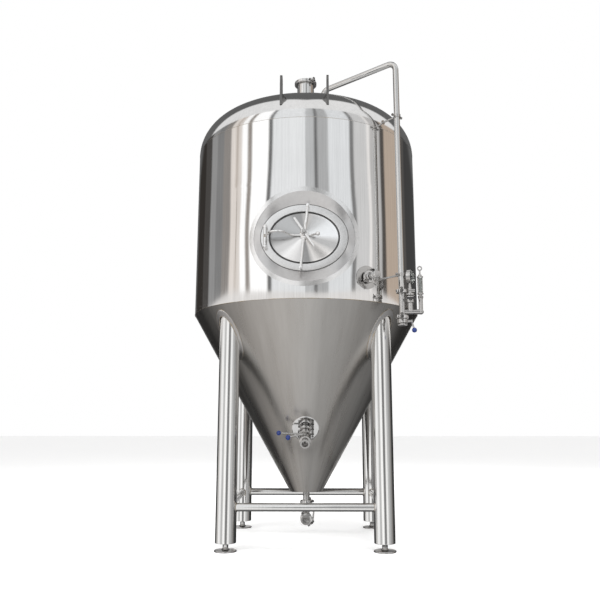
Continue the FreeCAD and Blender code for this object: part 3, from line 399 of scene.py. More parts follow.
def lid_painted_reflection_finish():
    """The lid's spun satin steel, its colour painted in soft sectors round its middle: painted reflections
    of the light and shade that its shallow cone would mirror.
    """
    look = Finish("satin_lid_painted_reflections", (0.62, 0.61, 0.61), 0.16, 1.0)
    place = look.place()
    apart = look.add("ShaderNodeSeparateXYZ", {"Vector": place})
    height = look.math("SUBTRACT", apart.outputs["Z"], MANWAY.z * MM)
    turn = look.math("ARCTAN2", height, apart.outputs["X"])
    share = look.math("ADD", look.math("DIVIDE", turn, TURN), 0.5)
    bands = [((angle + 180) / 360, tone) for angle, tone in LID_PAINTED_REFLECTIONS]
    # Painted reflection: the base colour's tone by angle stands in for the light and shade that the lid's
    # cone would mirror.
    painted_reflection_tones = band_ramp(look.tree, share, bands, 0.018)
    lines = look.noise(place, 70.0, 5.0, 0.7)
    look.link(painted_reflection_tones, "Base Color")
    look.link(look.span(lines, 0.3, 0.7, 0.14, 0.22), "Roughness")
    look.bump(lines, 0.03, 0.0004)
    return look.material


def cone_steel_painted_shade():
    """The cone's satin steel, ground along its slope, so its streaks run down to the outlet. Its colour is
    kept darker than the drum's as painted shade, standing in for the shaded floor under the drum that it
    mirrors.
    """
    look = Finish("satin_cone_painted_shade", (0.46, 0.445, 0.425), 0.3, 1.0)
    place = look.place()
    apart = look.add("ShaderNodeSeparateXYZ", {"Vector": place})
    flat = look.add("ShaderNodeCombineXYZ", {"X": apart.outputs["X"], "Y": apart.outputs["Y"]})
    round_it = look.add("ShaderNodeVectorMath", {0: flat.outputs["Vector"]}, operation="NORMALIZE")
    ring = look.add("ShaderNodeSeparateXYZ", {"Vector": round_it.outputs["Vector"]})
    height = look.math("MULTIPLY", apart.outputs["Z"], 0.22)
    where = look.add("ShaderNodeCombineXYZ", {"X": ring.outputs["X"], "Y": ring.outputs["Y"],
                                              "Z": height}).outputs["Vector"]
    wide, fine = look.noise(where, 5.0, 3.0), look.noise(where, 90.0, 5.0, 0.75)
    tone = look.math("ADD", look.math("MULTIPLY", wide, 0.8), look.math("MULTIPLY", fine, 0.2))
    look.link(look.blend(look.span(tone, 0.36, 0.64, 0, 1), (0.43, 0.415, 0.395), (0.55, 0.535, 0.515)),
              "Base Color")
    look.link(look.span(tone, 0.3, 0.7, 0.24, 0.36), "Roughness")
    look.bump(fine, 0.12, 0.0005)
    return look.material


def weld_steel():
    """Weld metal: rougher and darker, with a straw and blue heat tint in patches."""
    look = Finish("weld_steel", (0.5, 0.47, 0.43), 0.3, 1.0)
    patches = look.noise(look.place(), 14.0, 3.0)
    scales = look.noise(look.place(), 260.0, 3.0)
    look.link(look.blend(look.span(patches, 0.4, 0.62, 0, 1), (0.52, 0.50, 0.48), (0.50, 0.42, 0.31)),
              "Base Color")
    look.link(look.span(scales, 0.3, 0.7, 0.22, 0.42), "Roughness")
    look.bump(scales, 0.2, 0.0006)
    return look.material


def rubber():
    """Black seal rubber with a fine grain."""
    look = Finish("seal_rubber", (0.09, 0.09, 0.09), 0.6)
    grain = look.noise(look.place(), 420.0, 4.0)
    look.link(look.blend(look.span(grain, 0.3, 0.7, 0, 1), (0.07, 0.07, 0.07), (0.13, 0.13, 0.13)),
              "Base Color")
    look.link(look.span(grain, 0.3, 0.7, 0.5, 0.72), "Roughness")
    look.bump(grain, 0.25, 0.0004)
    return look.material


def gloss_plastic(name, colour, deep):
    """Glossy moulded plastic with clouds of a deeper colour and hairline scuffs."""
    look = Finish(name, colour, 0.16)
    clouds = look.noise(look.place(), 55.0, 3.0)
    scuffs = look.noise(look.place((1, 1, 5)), 300.0, 4.0, 0.8)
    look.link(look.blend(look.span(clouds, 0.35, 0.65, 0, 1), deep, colour), "Base Color")
    look.link(look.span(scuffs, 0.4, 0.75, 0.10, 0.28), "Roughness")
    look.shader.inputs["Coat Weight"].default_value = 0.6
    look.shader.inputs["Coat Roughness"].default_value = 0.05
    look.bump(scuffs, 0.05, 0.0003)
    return look.material


def clear_glass():
    """Clear glass with smudges."""
    look = Finish("clear_glass", (0.94, 0.97, 0.96), 0.02)
    look.shader.inputs["Transmission Weight"].default_value = 1.0
    look.shader.inputs["IOR"].default_value = 1.47
    smudge = look.noise(look.place(), 70.0, 3.0)
    look.link(look.span(smudge, 0.4, 0.8, 0.01, 0.08), "Roughness")
    return look.material


def foam_plastic():
    """Insulating foam with open cells."""
    look = Finish("insulation_foam", (0.78, 0.66, 0.38), 0.9)
    cells = look.add("ShaderNodeTexVoronoi", {"Vector": look.place(), "Scale": 240.0}).outputs["Distance"]
    look.link(look.blend(look.span(cells, 0.0, 0.7, 0, 1), (0.82, 0.71, 0.43), (0.66, 0.53, 0.28)),
              "Base Color")
    look.link(look.span(cells, 0.0, 0.7, 0.8, 0.95), "Roughness")
    look.bump(cells, 0.5, 0.001)
    return look.material


def enamel(name, colour, stain):
    """Paint baked on metal, with a faint mottle."""
    look = Finish(name, colour, 0.3)
    mottle = look.noise(look.place(), 130.0, 4.0)
    look.link(look.blend(look.span(mottle, 0.35, 0.7, 0, 1), colour, stain), "Base Color")
    look.link(look.span(mottle, 0.3, 0.7, 0.25, 0.4), "Roughness")
    return look.material


VERTICAL, LEVEL, EVEN = (1, 1, 0.02), (0.02, 0.02, 1), (1, 1, 1)
mirror_steel = steel("mirror_drum", (0.80, 0.795, 0.79), 0.035, 0.05, 130.0, VERTICAL, 0.03)
head_steel = steel("polished_head", (0.76, 0.755, 0.75), 0.06, 0.06, 60.0, EVEN, 0.03)
panel_steel = steel("satin_panel", (0.64, 0.63, 0.625), 0.30, 0.06, 30.0, EVEN, 0.015)
soft_steel = steel("ground_border", (0.80, 0.795, 0.79), 0.16, 0.08, 40.0, EVEN, 0.01)
lid_steel_painted_reflections = lid_painted_reflection_finish()
ring_steel = steel("satin_ring", (0.84, 0.835, 0.83), 0.18, 0.06, 60.0, EVEN, 0.02)
# The bars' steel is brighter than the other steels as a painted highlight, so the hinge, arm, bridge and tee
# read white against the lid.
bar_steel_painted_highlight = steel("polished_bars_painted_highlight", (0.94, 0.935, 0.93), 0.04, 0.04, 150.0, EVEN, 0.02)
bright_steel = steel("polished_fittings", (0.66, 0.65, 0.64), 0.09, 0.08, 180.0, EVEN, 0.05)
turned_steel = steel("turned_fittings", (0.55, 0.54, 0.53), 0.12, 0.12, 240.0, EVEN, 0.10)
dark_steel = steel("dull_steel", (0.20, 0.195, 0.19), 0.34, 0.16, 200.0, EVEN, 0.15)
leg_steel = steel("polished_legs", (0.78, 0.775, 0.765), 0.06, 0.08, 150.0, VERTICAL, 0.05)
pipe_steel = steel("polished_pipe", (0.66, 0.655, 0.645), 0.05, 0.06, 160.0, VERTICAL, 0.04)
inner_steel = steel("inner_steel", (0.60, 0.59, 0.58), 0.25, 0.12, 50.0, LEVEL, 0.08)
satin_cone_painted_shade = cone_steel_painted_shade()
weld_metal = weld_steel()
seal_rubber = rubber()
blue_plastic = gloss_plastic("blue_grips", (0.008, 0.032, 0.20), (0.005, 0.022, 0.14))
black_plastic = gloss_plastic("black_trim", (0.02, 0.02, 0.022), (0.012, 0.012, 0.014))
glass = clear_glass()
foam = foam_plastic()
dial_ink = enamel("dial_ink", (0.02, 0.02, 0.025), (0.05, 0.05, 0.05))


def coat(material, *nodes):
    """Gives CAD nodes that stay in view a finish."""
    for name in nodes:
        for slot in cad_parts[name].material_slots:
            slot.material = material


# ---- the drum, cone, head and insulation -----------------------------------------------------------

# How far the manway's weld draws the drum in, and over what angle and height it does so.
DRAWN_IN, DRAWN_WIDTH, DRAWN_HEIGHT = 10.0, 0.42, 240.0
HEM = 14
FOAM_FACE, FOAM_BACK, FOAM_HALF_ANGLE = 16, 66, radians(27)


def wall_radius(angle, z):
    """The drum's radius: the weld round the manway has drawn the wall in, and it waves a little."""
    near = exp(-((angle / DRAWN_WIDTH) ** 2) - ((z - MANWAY.z) / DRAWN_HEIGHT) ** 2)
    ends = sin(pi * (z - DRUM_BOTTOM) / (DRUM_TOP - DRUM_BOTTOM))
    wave = 0.30 * sin(6 * angle + z / 260) + 0.22 * sin(11 * angle - z / 170 + 1.0)
    return RADIUS - (DRAWN_IN * near + wave) * max(0.0, ends)


def on_wall(angle, z, lift=0.0):
    """The place on the drum at an angle from the front, lifted off its face."""
    radius = wall_radius(angle, z) + lift
    return Vector((radius * sin(angle), -radius * cos(angle), z))


def around_manway(border):
    """Rows from the manway's oval out to a border, given as (angle, z) places on the drum."""
    rings, rows = 10, []
    for ring in range(rings + 1):
        share = ring / rings
        row = []
        for angle, z in border:
            way = atan2((z - MANWAY.z) / PANEL_HALF_HEIGHT, RADIUS * sin(angle) / PANEL_HALF_WIDTH)
            x = PANEL_HALF_WIDTH * cos(way)
            oval_angle = atan2(x, sqrt(RADIUS ** 2 - x ** 2))
            oval_z = MANWAY.z + PANEL_HALF_HEIGHT * sin(way)
            row.append(on_wall(oval_angle + (angle - oval_angle) * share, oval_z + (z - oval_z) * share))
        rows.append(row)
    return rows


def build_drum():
    """The drum's sheet as a grid, with a fan of faces that closes it onto the manway's oval."""
    columns, patch_columns = 288, 27
    patch_low, patch_high, step = 1290.0, 1890.0, 20.0
    levels = [DRUM_BOTTOM, DRUM_BOTTOM + HEM]
    levels += [patch_low + step * k for k in range(round((patch_high - patch_low) / step) + 1)]
    above = round((DRUM_TOP - patch_high) / step)
    levels += [patch_high + (DRUM_TOP - patch_high) * (k + 1) / above for k in range(above)]
    shape = Shape()
    angles = [TURN * (k - patch_columns) / columns for k in range(columns)]
    beside_patch = angles[2 * patch_columns:] + [TURN + angles[0]]
    for low, high in zip(levels, levels[1:]):
        if patch_low <= low and high <= patch_high:
            shape.skin([[on_wall(a, z) for a in beside_patch] for z in (low, high)], closed=False)
        else:
            shape.skin([[on_wall(a, z) for a in angles] for z in (low, high)])
    patch_angles = angles[:2 * patch_columns + 1]
    patch_levels = [z for z in levels if patch_low <= z <= patch_high]
    border = [(a, patch_low) for a in patch_angles]
    border += [(patch_angles[-1], z) for z in patch_levels[1:]]
    border += [(a, patch_high) for a in reversed(patch_angles[:-1])]
    border += [(patch_angles[0], z) for z in reversed(patch_levels[1:-1])]
    shape.skin(around_manway(border))
    make("drum_sheet", "tank", shape, [mirror_steel], ["drum_cladding"], 60)


def cone_profile(depth, bottom, top):
    """Two ends of the cone's line, a depth under its outer face."""
    inset = depth / cos(INCLINE)
    return [(CONE_FOOT_RADIUS + (z - CONE_FOOT) * SLOPE - inset, z) for z in (bottom, top)]


def head_profile(depth=0.0):
    """The head's knuckle and crown arcs, from the drum up to the middle."""
    rise = sqrt((CROWN - KNUCKLE) ** 2 - (RADIUS - KNUCKLE) ** 2)
    meeting = atan2(rise, RADIUS - KNUCKLE)
    arc = [(RADIUS - KNUCKLE + (KNUCKLE - depth) * cos(meeting * k / 24),
            DRUM_TOP + (KNUCKLE - depth) * sin(meeting * k / 24)) for k in range(25)]
    crown = [((CROWN - depth) * cos(meeting + (pi / 2 - meeting) * k / 30),
              DRUM_TOP - rise + (CROWN - depth) * sin(meeting + (pi / 2 - meeting) * k / 30))
             for k in range(1, 31)]
    return arc + crown


def build_foam():
    """The insulation: whole rings under and over the manway and in the cone, and a C beside it."""
    low, below, above = DRUM_BOTTOM + HEM, panel_low.z - 8, panel_high.z + 8
    outer, inner = RADIUS - FOAM_FACE, RADIUS - FOAM_BACK
    cone_outer, cone_inner = (cone_profile(depth, CONE_FOOT + 40, DRUM_BOTTOM - HEM)
                              for depth in (FOAM_FACE, FOAM_BACK))
    ring = [(outer, low), (outer, below), (inner, below), (inner, low)]
    dome = [(outer, above)] + head_profile(FOAM_FACE)[:-1]
    dome += head_profile(FOAM_BACK)[-2::-1] + [(inner, above)]
    shape = Shape()
    for profile in (cone_outer + cone_inner[::-1], ring, dome):
        shape.spin(profile, steps=96, loop=True, bevel=0)
    turns = 80
    corners = [(outer, below), (outer, above), (inner, above), (inner, below)]
    rows = []
    for k in range(turns + 1):
        angle = FOAM_HALF_ANGLE + (TURN - 2 * FOAM_HALF_ANGLE) * k / turns
        rows.append([Vector((r * sin(angle), -r * cos(angle), z)) for r, z in corners])
    shape.skin(rows, caps=True)
    make("foam_lining", "tank", shape, [foam], ["insulation"], 40)


def level_circle(radius, z, count=720):
    return [Vector((*spot, z)) for spot in circle(radius, count)]


def build_skins():
    """The cone's sheet with its foot, and the head's sheet."""
    cone = Shape()
    low, high = (Vector((*point, 0)) for point in cone_profile(0, CONE_FOOT, DRUM_BOTTOM))
    steps, outlet_radius, foot_round = 40, 18.5, 4
    wall = [tuple(low.lerp(high, k / steps)[:2]) for k in range(steps + 1)]
    foot = [(outlet_radius, CONE_FOOT), (CONE_FOOT_RADIUS - foot_round, CONE_FOOT)]
    cone.spin(foot + wall, steps=288, bevel=0)
    make("cone_sheet", "tank", cone, [satin_cone_painted_shade], ["cone_cladding"], 40)
    head = Shape().spin(head_profile(), steps=288, bevel=0)
    make("head_sheet", "tank", head, [head_steel], ["head_cladding"], 60)


def build_seams():
    """The welds at the drum's two ends."""
    seams = Shape()
    seams.bead(level_circle(RADIUS - 0.6, DRUM_BOTTOM), 1.9, True, pitch=7)
    seams.sweep(level_circle(RADIUS - 0.9, DRUM_TOP, 360), 1.5, 6, True)
    make("tank_seams", "tank", seams, [weld_metal])


# ---- manway ----------------------------------------------------------------------------------------

RING_OUTER, RING_INNER = (228, 179), (186, 141)
RING_THICK, NECK_THICK, NECK_DEPTH = 12, 4, 90
LID_LAP, LID_GAP, LID_BACK, LID_RISE = 10, 8, 18, 32
LID_HUB = (31, 25)
HINGE = Vector((-203, -650, MANWAY.z))


def oval_spot(half_width, half_height, turn):
    """The place on the drum over a point of an ellipse round the manway's middle."""
    x, z = half_width * cos(turn), MANWAY.z + half_height * sin(turn)
    return atan2(x, sqrt(RADIUS ** 2 - x ** 2)), z


def level(size, growth, back):
    """An ellipse (half width, half height, y): a size grown all round, behind the ring's face."""
    return size[0] + growth, size[1] + growth, MANWAY.y + back


def ovals(levels, shape, finish=0, loop=False):
    """A skin through ellipses given as (half width, half height, y)."""
    shape.skin([oval(*size) for size in levels], loop=loop, finish=finish)


def build_surround():
    """The ruled panel from the round drum down to the flat ring, its ground border and its weld."""
    count, rows_down = 192, 12
    turns = [TURN * k / count for k in range(count)]
    rim = [on_wall(*oval_spot(PANEL_HALF_WIDTH, PANEL_HALF_HEIGHT, turn)) for turn in turns]
    foot = [Vector((RING_OUTER[0] * cos(turn), MANWAY.y + 3, MANWAY.z + RING_OUTER[1] * sin(turn)))
            for turn in turns]
    panel = Shape().skin([[a.lerp(b, k / rows_down) for a, b in zip(rim, foot)]
                          for k in range(rows_down + 1)])
    make("manway_surround", "tank", panel, [panel_steel], ["manway_recess_panel"], 50)
    border, overlap, bulge, lift = 24, 4, 0.9, 0.2
    rows = []
    for share in (0, 0.25, 0.5, 0.75, 1):
        wider = border * share - overlap
        rows.append([on_wall(*oval_spot(PANEL_HALF_WIDTH + wider, PANEL_HALF_HEIGHT + wider, turn),
                             bulge * (1 - share) + lift) for turn in turns])
    welds = Shape().skin(rows)
    welds.bead([spot + FRONT for spot in foot], 2.4, True, 1, pitch=5)
    make("manway_welds", "tank", welds, [soft_steel, dark_steel], sharp=50)


def build_ring():
    """The flat oval ring with its rounded edges, and the neck behind it."""
    ring = Shape()
    rounded_edge = ((0, 3), (0.6, 0.9), (2.4, 0))
    outer_edge = [level(RING_OUTER, -cut, back) for cut, back in rounded_edge]
    inner_edge = [level(RING_INNER, cut, back) for cut, back in reversed(rounded_edge)]
    ovals([level(RING_OUTER, 0, NECK_DEPTH)] + outer_edge + inner_edge
          + [level(RING_INNER, 0, RING_THICK), level(RING_OUTER, -NECK_THICK, RING_THICK),
             level(RING_OUTER, -NECK_THICK, NECK_DEPTH)], ring, loop=True)
    make("manway_frame", "tank", ring, [ring_steel], ["manway_ring"], 40)


def build_lid():
    """The lid behind the ring: its seal, its shallow cone, its hub and its threaded spindle."""
    lid = Shape()
    tip = MANWAY.y - LID_RISE
    seal_front = RING_THICK + 0.2
    ovals([level(RING_INNER, LID_LAP, LID_BACK), level(RING_INNER, LID_LAP, RING_THICK + 0.5),
           level(RING_INNER, -LID_GAP, seal_front)], lid, 2)
    rim = [level(RING_INNER, -LID_GAP - cut, back)
           for cut, back in ((0, seal_front), (0, 4.5), (0.8, 3.2), (2, 2.6))]
    steps = 16
    crown = [Vector(rim[-1]).lerp(Vector((*LID_HUB, tip)), k / steps) for k in range(1, steps + 1)]
    ovals(rim + crown + [(LID_HUB[0] - 2, LID_HUB[1] - 2, tip - 0.8), (12, 12, tip - 1.0)], lid)
    ovals([level(RING_INNER, LID_LAP, LID_BACK), level(RING_INNER, LID_LAP - 19, LID_BACK),
           level(LID_HUB, 0, -LID_BACK), (8, 8, MANWAY.y - LID_BACK)], lid)
    lid.spin([(10, -2), (17, -2), (17, 3), (13, 6), (10, 6)], stand((0, tip, MANWAY.z), FRONT), 36)
    spindle_foot = tip + 2
    lid.thread(stand((0, spindle_foot, MANWAY.z), FRONT), 9.9, 0, spindle_foot - lid_low.y, 3.0, finish=1)
    make("manway_cover", "manway_lid", lid, [lid_steel_painted_reflections, turned_steel, seal_rubber], ["manway_lid"],
         34)


def build_arm():
    """The hinge and the swing arm that carries the lid, with its round grip."""
    lug_size, lug_round, lug_thick, lug_forward = (22, 34), 6, 9, 17
    hinge = Shape()
    for offset in (-53.5, 51.5):
        lug = Vector((HINGE.x, MANWAY.y - lug_forward, HINGE.z + offset - lug_thick / 2))
        hinge.slab(rounded_box(*lug_size, lug_round), lug_thick, stand(lug))
    hinge.rod(HINGE - UP * 62, HINGE + UP * 60, 5)
    for offset, way in ((-57, -1), (55, 1)):
        cap = stand(HINGE + UP * offset, UP * way)
        hinge.spin([(0, -1), (8, -1), (8.4, 2), (6.5, 5.6), (0, 6)], cap, 24)
    make("manway_hinge", "tank", hinge, [bar_steel_painted_highlight], ["manway_hinge_pin"])
    arm = Shape()
    barrel = [(5.2, -46), (8.5, -46), (8.5, -42), (7.9, -40), (7.9, 40), (8.5, 42), (8.5, 46), (5.2, 46)]
    arm.spin(barrel, stand(HINGE), 28)
    bar_radius, z = 6, MANWAY.z
    arm.sweep(bends([HINGE, (-168, -742, z), (-112, -748, z), (-72, -664, z), (-18, -664, z)], 90),
              bar_radius, 18)
    arm.spin([(10.4, 0), (21, 0), (21, 11), (10.4, 11)], stand((0, -670, z), BACK), 36)
    arm.sweep(bends([(14, -664, z), (38, -664, z), (66, -690, z)], 22), bar_radius, 18)
    arm.ball((70, -693, z), 11.5)
    arm_way = Vector((0.36, -0.93, 0))
    arm.bead(circle_path(HINGE + FRONT * 8, arm_way, bar_radius + 0.4), 1.3, True, 1, pitch=2.5)
    make("manway_swing_arm", "tank", arm, [bar_steel_painted_highlight, weld_metal], ["manway_arm"])


def circle_path(place, axis, radius, count=40):
    at = stand(place, axis)
    return [at @ Vector((*spot, 0)) for spot in circle(radius, count)]


def build_bridge():
    """The bar that bears on the ring, and the tee nut that pulls the lid up against it."""
    tilt = radians(6.3)
    along = Vector((sin(tilt), 0, cos(tilt)))
    across = along.cross(FRONT)

    def on_bar(distance, front):
        return Vector((0, -front, MANWAY.z)) + along * distance

    bridge = Shape()
    half = ((170, 640), (120, 650), (56, 684))
    arch = [on_bar(*spot) for spot in half] + [on_bar(-d, front) for d, front in reversed(half)]
    bridge.sweep(bends(arch, 60), 7, 20, upright=FRONT)
    bridge.spin([(10.4, 0), (19, 0), (19, 20), (10.4, 20)], stand(on_bar(0, 672.5), FRONT), 36)
    stud = [(0, 0), (8, 0), (8, 27), (5, 29), (5, 40), (0, 40)]
    nut_across, nut_thick = 15, 8
    for d in (168, -168):
        bridge.spin(stud, stand(on_bar(d, 620.4), FRONT), 28)
        bridge.hexagon(stand(on_bar(d, 647.4), FRONT, across), nut_across, nut_thick)
    make("manway_bridge", "manway_bridge", bridge, [bar_steel_painted_highlight], ["manway_bridge_bar"])
    nut = Shape()
    nut.spin([(10.3, 0), (22, 0), (22, 4), (16, 7), (16, 34), (15, 40), (12.5, 44), (10.3, 44)],
             stand((0, -694.5, MANWAY.z), FRONT), 36)
    tee = Vector((-101, 0, 149.5)).normalized()
    middle = Vector((0, -727, MANWAY.z))
    for way in (-1, 1):
        nut.rod(middle + tee * 12 * way, middle + tee * 90 * way, 6.5, bevel=2.5)
    make("manway_tee", "manway_nut", nut, [bar_steel_painted_highlight], ["manway_tee_nut"])


# ---- legs, feet and tie bars -----------------------------------------------------------------------

def on_cone(x, y, lift=0.0):
    """The place on the cone straight above a point, lifted off its face."""
    reach = hypot(x, y)
    z = CONE_FOOT + (reach - CONE_FOOT_RADIUS) / SLOPE
    normal = Vector((x / reach * cos(INCLINE), y / reach * cos(INCLINE), -sin(INCLINE)))
    return Vector((x, y, z)) + normal * lift


def build_legs():
    """Pipe legs cut to the cone, each with its ground collar and welds, and their levelling feet."""
    count, sections, spacing = 96, 8, 120
    bottom = node_box("leg_front_left")[0].z
    cut_end = ((20, 0), (LEG_RADIUS - 2.2, 0), (LEG_RADIUS - 0.6, 0.7), (LEG_RADIUS, 2.4))
    collar = ((LEG_RADIUS + 0.2, 5.0), (57, 4.0), (69, 3.4), (72, 2.6), (73, 0.8), (73.4, -1))
    boss_inner, boss_outer, boss_low, boss_high = 10.3, 18, bottom + 1, bottom + 8
    pad = [(0, 0), (55.5, 0), (58, 2), (58, 5.5), (56, 8), (24, 9.5), (19, 12), (14, 20), (14, 24), (0, 24)]
    nut_low, nut_across, nut_thick = 24, 26, 9
    for corner, (x_side, y_side) in CORNERS.items():
        cx, cy = x_side * LEG_OFFSET, y_side * LEG_OFFSET

        def ring(radius, z):
            return [Vector((cx + x, cy + y, z)) for x, y in circle(radius, count)]

        def cone_ring(radius, lift):
            return [on_cone(cx + x, cy + y, lift) for x, y in circle(radius, count)]

        leg = Shape()
        shell = [ring(radius, bottom + height) for radius, height in cut_end]
        shell += [ring(LEG_RADIUS, bottom + 60 + spacing * k) for k in range(sections)]
        leg.skin(shell + [cone_ring(LEG_RADIUS, -1)])
        leg.skin([cone_ring(*size) for size in collar], finish=1)
        leg.bead(cone_ring(LEG_RADIUS + 1, 4.2), 2.6, True, 2, pitch=4.5)
        leg.bead(cone_ring(73.5, 0.8), 1.8, True, 2, pitch=4)
        leg.spin([(boss_inner, boss_low), (boss_outer, boss_low), (boss_outer, boss_high),
                  (boss_inner, boss_high)], stand((cx, cy, 0)), 6, finish=1)
        make(f"pipe_leg_{corner}", "tank", leg, [leg_steel, panel_steel, weld_metal], [f"leg_{corner}"],
             36)
        foot = Shape()
        foot.spin(pad, stand((cx, cy, 0)), 64, bevel=0.8)
        foot.hexagon(stand((cx, cy, nut_low)), nut_across, nut_thick, 1)
        foot.thread(stand((cx, cy, 0)), 10, nut_low + nut_thick, boss_high, 2.5, finish=1)
        make(f"levelling_foot_{corner}", f"foot_{corner}", foot, [turned_steel, bright_steel],
             [f"foot_{corner}"])


def build_tie_bars():
    """The tie bars between the legs, each end closed onto its leg by a weld."""
    bars = {"cross": (RIGHT, BACK), "side": (BACK, RIGHT)}
    brace_low, brace_high = node_box("cross_braces")
    height, radius = (brace_low.z + brace_high.z) / 2, 21.2
    reach, half_sections = LEG_OFFSET - 40, 6
    for name, (along, apart) in bars.items():
        shape = Shape()
        for side in (-1, 1):
            middle = apart * (side * LEG_OFFSET) + UP * height
            shape.sweep([middle + along * (reach * k / half_sections)
                         for k in range(-half_sections, half_sections + 1)], radius, 48)
            for way in (-1, 1):
                weld = []
                for up, over in circle(radius + 1.2, 120):
                    inset = LEG_OFFSET - sqrt((LEG_RADIUS + 0.6) ** 2 - over ** 2)
                    weld.append(middle + apart * over + UP * up + along * way * inset)
                shape.bead(weld, 2.0, True, 1, pitch=3.6)
        make(f"{name}_tie_bars", "tank", shape, [leg_steel, weld_metal], [f"{name}_braces"])


# ---- clamps, levers and grips ----------------------------------------------------------------------

# Outer radii of the clamp ferrules: the usual pair, the smaller gauge one and the top port's.
FERRULE, SMALL_FERRULE, TOP_FERRULE = 25.25, 22, 59.5


def add_clamp(shape, place, axis, side, flange):
    """A hinged pipe clamp with a groove, a hinge, a bolt and a wing nut."""
    at = stand(place, axis, side)
    groove, lip, rim = flange + 0.35, flange - 4.2, flange + 7.4
    shape.spin([(lip, -8.5), (rim - 1, -8.5), (rim, -6), (rim, 6), (rim - 1, 8.5), (lip, 8.5), (lip, 6.3),
                (groove, 4.5), (groove, -4.5), (lip, -6.3)], at, 56, loop=True)
    bolt_lug, hinge_lug, lug_apart = (15, 7, 15), (12, 6, 12), 6
    for y in (-lug_apart, lug_apart):
        shape.box(bolt_lug, at @ Matrix.Translation((flange + 13, y, 0)), edge=1.2)
        shape.box(hinge_lug, at @ Matrix.Translation((-flange - 8, y * 0.7, 0)), edge=1.2)
    bolt_radius = 3.6
    bolt = at @ stand((flange + 14, -14, 0), BACK)
    shape.thread(bolt, bolt_radius, 0, 40, 1.5, finish=1, steps=14)
    shape.spin([(0, -2), (6, -2), (6, 2.5), (0, 3)], bolt, 20, finish=1)
    shape.spin([(bolt_radius, 22), (7.5, 22), (7, 30), (5, 33), (bolt_radius, 33)], bolt, 24, finish=1)
    wing_outline, wing_thick = [(-7, -6), (4, -8), (9, -2), (8, 6), (2, 9), (-5, 3)], 4
    for way in (-1, 1):
        wing = bolt @ stand((-wing_thick / 2, way * 11, 30), RIGHT, BACK * way)
        shape.slab(wing_outline, wing_thick, wing, 1, 1.0)
    pin = at @ stand((-flange - 10, 0, -9.5))
    shape.spin([(0, 0), (4.6, 0), (4.6, 1.5), (3.4, 2), (3.4, 17), (4.6, 17.5), (4.6, 19), (0, 19)], pin, 20,
               finish=1)


def build_clamps():
    """The eight clamps: racking port and valve, outlet, sample port, cleaning line and top port."""
    cone_out = Vector((0, -cos(INCLINE), -sin(INCLINE)))
    racking = Vector((0, -292, 612))
    outlet_top, outlet_end = UP * 201, Vector((0, -69.5, 119))
    sample_angle, sample_height = radians(29.5), 1385
    sample_out = Vector((sin(sample_angle), -cos(sample_angle), 0))
    sample_side = UP.cross(sample_out) * 0.8 + UP * 0.6
    line, line_side = Vector((505.5, -565, 0)), Vector((-0.5, -0.85, 0))
    top_port = Vector((0, -190, 2680))
    joints = [(racking + cone_out * 31, cone_out, RIGHT, FERRULE),
              (racking + cone_out * 81, cone_out, RIGHT, FERRULE),
              (outlet_top, UP, Vector((0.8, 0.6, 0)), FERRULE),
              (outlet_end, FRONT, Vector((0.6, 0, -0.8)), FERRULE),
              (sample_out * (RADIUS + 22) + UP * sample_height, sample_out, sample_side, FERRULE),
              (line + UP * 1176.5, UP, line_side, FERRULE),
              (line + UP * 1311, UP, line_side, SMALL_FERRULE),
              (top_port, UP, Vector((0.5, -0.85, 0)), TOP_FERRULE)]
    shape = Shape()
    for place, axis, side, flange in joints:
        add_clamp(shape, place, axis, side, flange)
    make("hinged_clamps", "tank", shape, [bright_steel, dark_steel], ["pipe_clamps"])


def build_grip(name, body, node):
    """A lever's glossy ball, at the place and size of its CAD node."""
    low, high = node_box(node)
    centre = (low + high) / 2
    shape = Shape().ball(centre, (high.z - low.z) / 2)
    make(name, body, shape, [blue_plastic], [node], 60)


# ---- light, floor and camera -----------------------------------------------------------------------

# What the steel mirrors, by azimuth in degrees from the front: the walls and soft boxes above the
# horizon, left and right of the camera, then the band near the horizon and the floor's light.
LEFT_BANDS = [(0, grey(0.98, -0.015)), (33.4, grey(0.20)), (37.6, grey(1.35)), (56.4, grey(0.34, 0.08)),
              (61.5, grey(1.3)), (68.5, grey(0.80, 0.06)), (73, grey(0.55, 0.10)), (76, grey(0.85, 0.06)),
              (83, grey(0.30, 0.06)), (94, grey(0.26)), (105, grey(0.34)), (116, grey(0.075, 0.05)),
              (130, grey(0.035, 0.1)), (152, grey(0.12)), (171, grey(0.6))]
RIGHT_BANDS = [(0, grey(0.62, -0.015)), (8.8, grey(0.17)), (11.8, grey(0.52, -0.01)),
               (22.8, grey(0.92, -0.02)), (46, grey(0.25)), (50.5, grey(0.74)), (66, grey(0.98, 0.02)),
               (69.5, grey(0.60, 0.01)), (83, grey(0.09, 0.08)), (88.8, grey(0.46, 0.18)),
               (111, grey(0.10, 0.05)), (125, grey(0.06)), (160, grey(0.14)), (173, grey(0.25))]
LOW_BANDS = [(-180, grey(0.45)), (-160, grey(0.02)), (-122, grey(0.22)), (-110, grey(0.62, 0.02)),
             (-88, grey(1.1)), (-54, grey(0.62)), (-31, grey(1.2)), (-5, grey(0.26)), (20, grey(1.1)),
             (42, grey(0.62)), (62, grey(0.42)), (84, grey(0.24, 0.04)), (100, grey(0.07)),
             (124, grey(0.015)), (162, grey(0.45))]
FLOOR_BANDS = [(-180, grey(0.10)), (-150, grey(0.05)), (-104, grey(0.42, 0.03)), (-84, grey(0.64, 0.03)),
               (-52, grey(0.86, 0.02)), (-14, grey(1.0)), (14, grey(0.66)), (60, grey(0.46, 0.01)),
               (84, grey(0.32)), (112, grey(0.16)), (150, grey(0.10))]


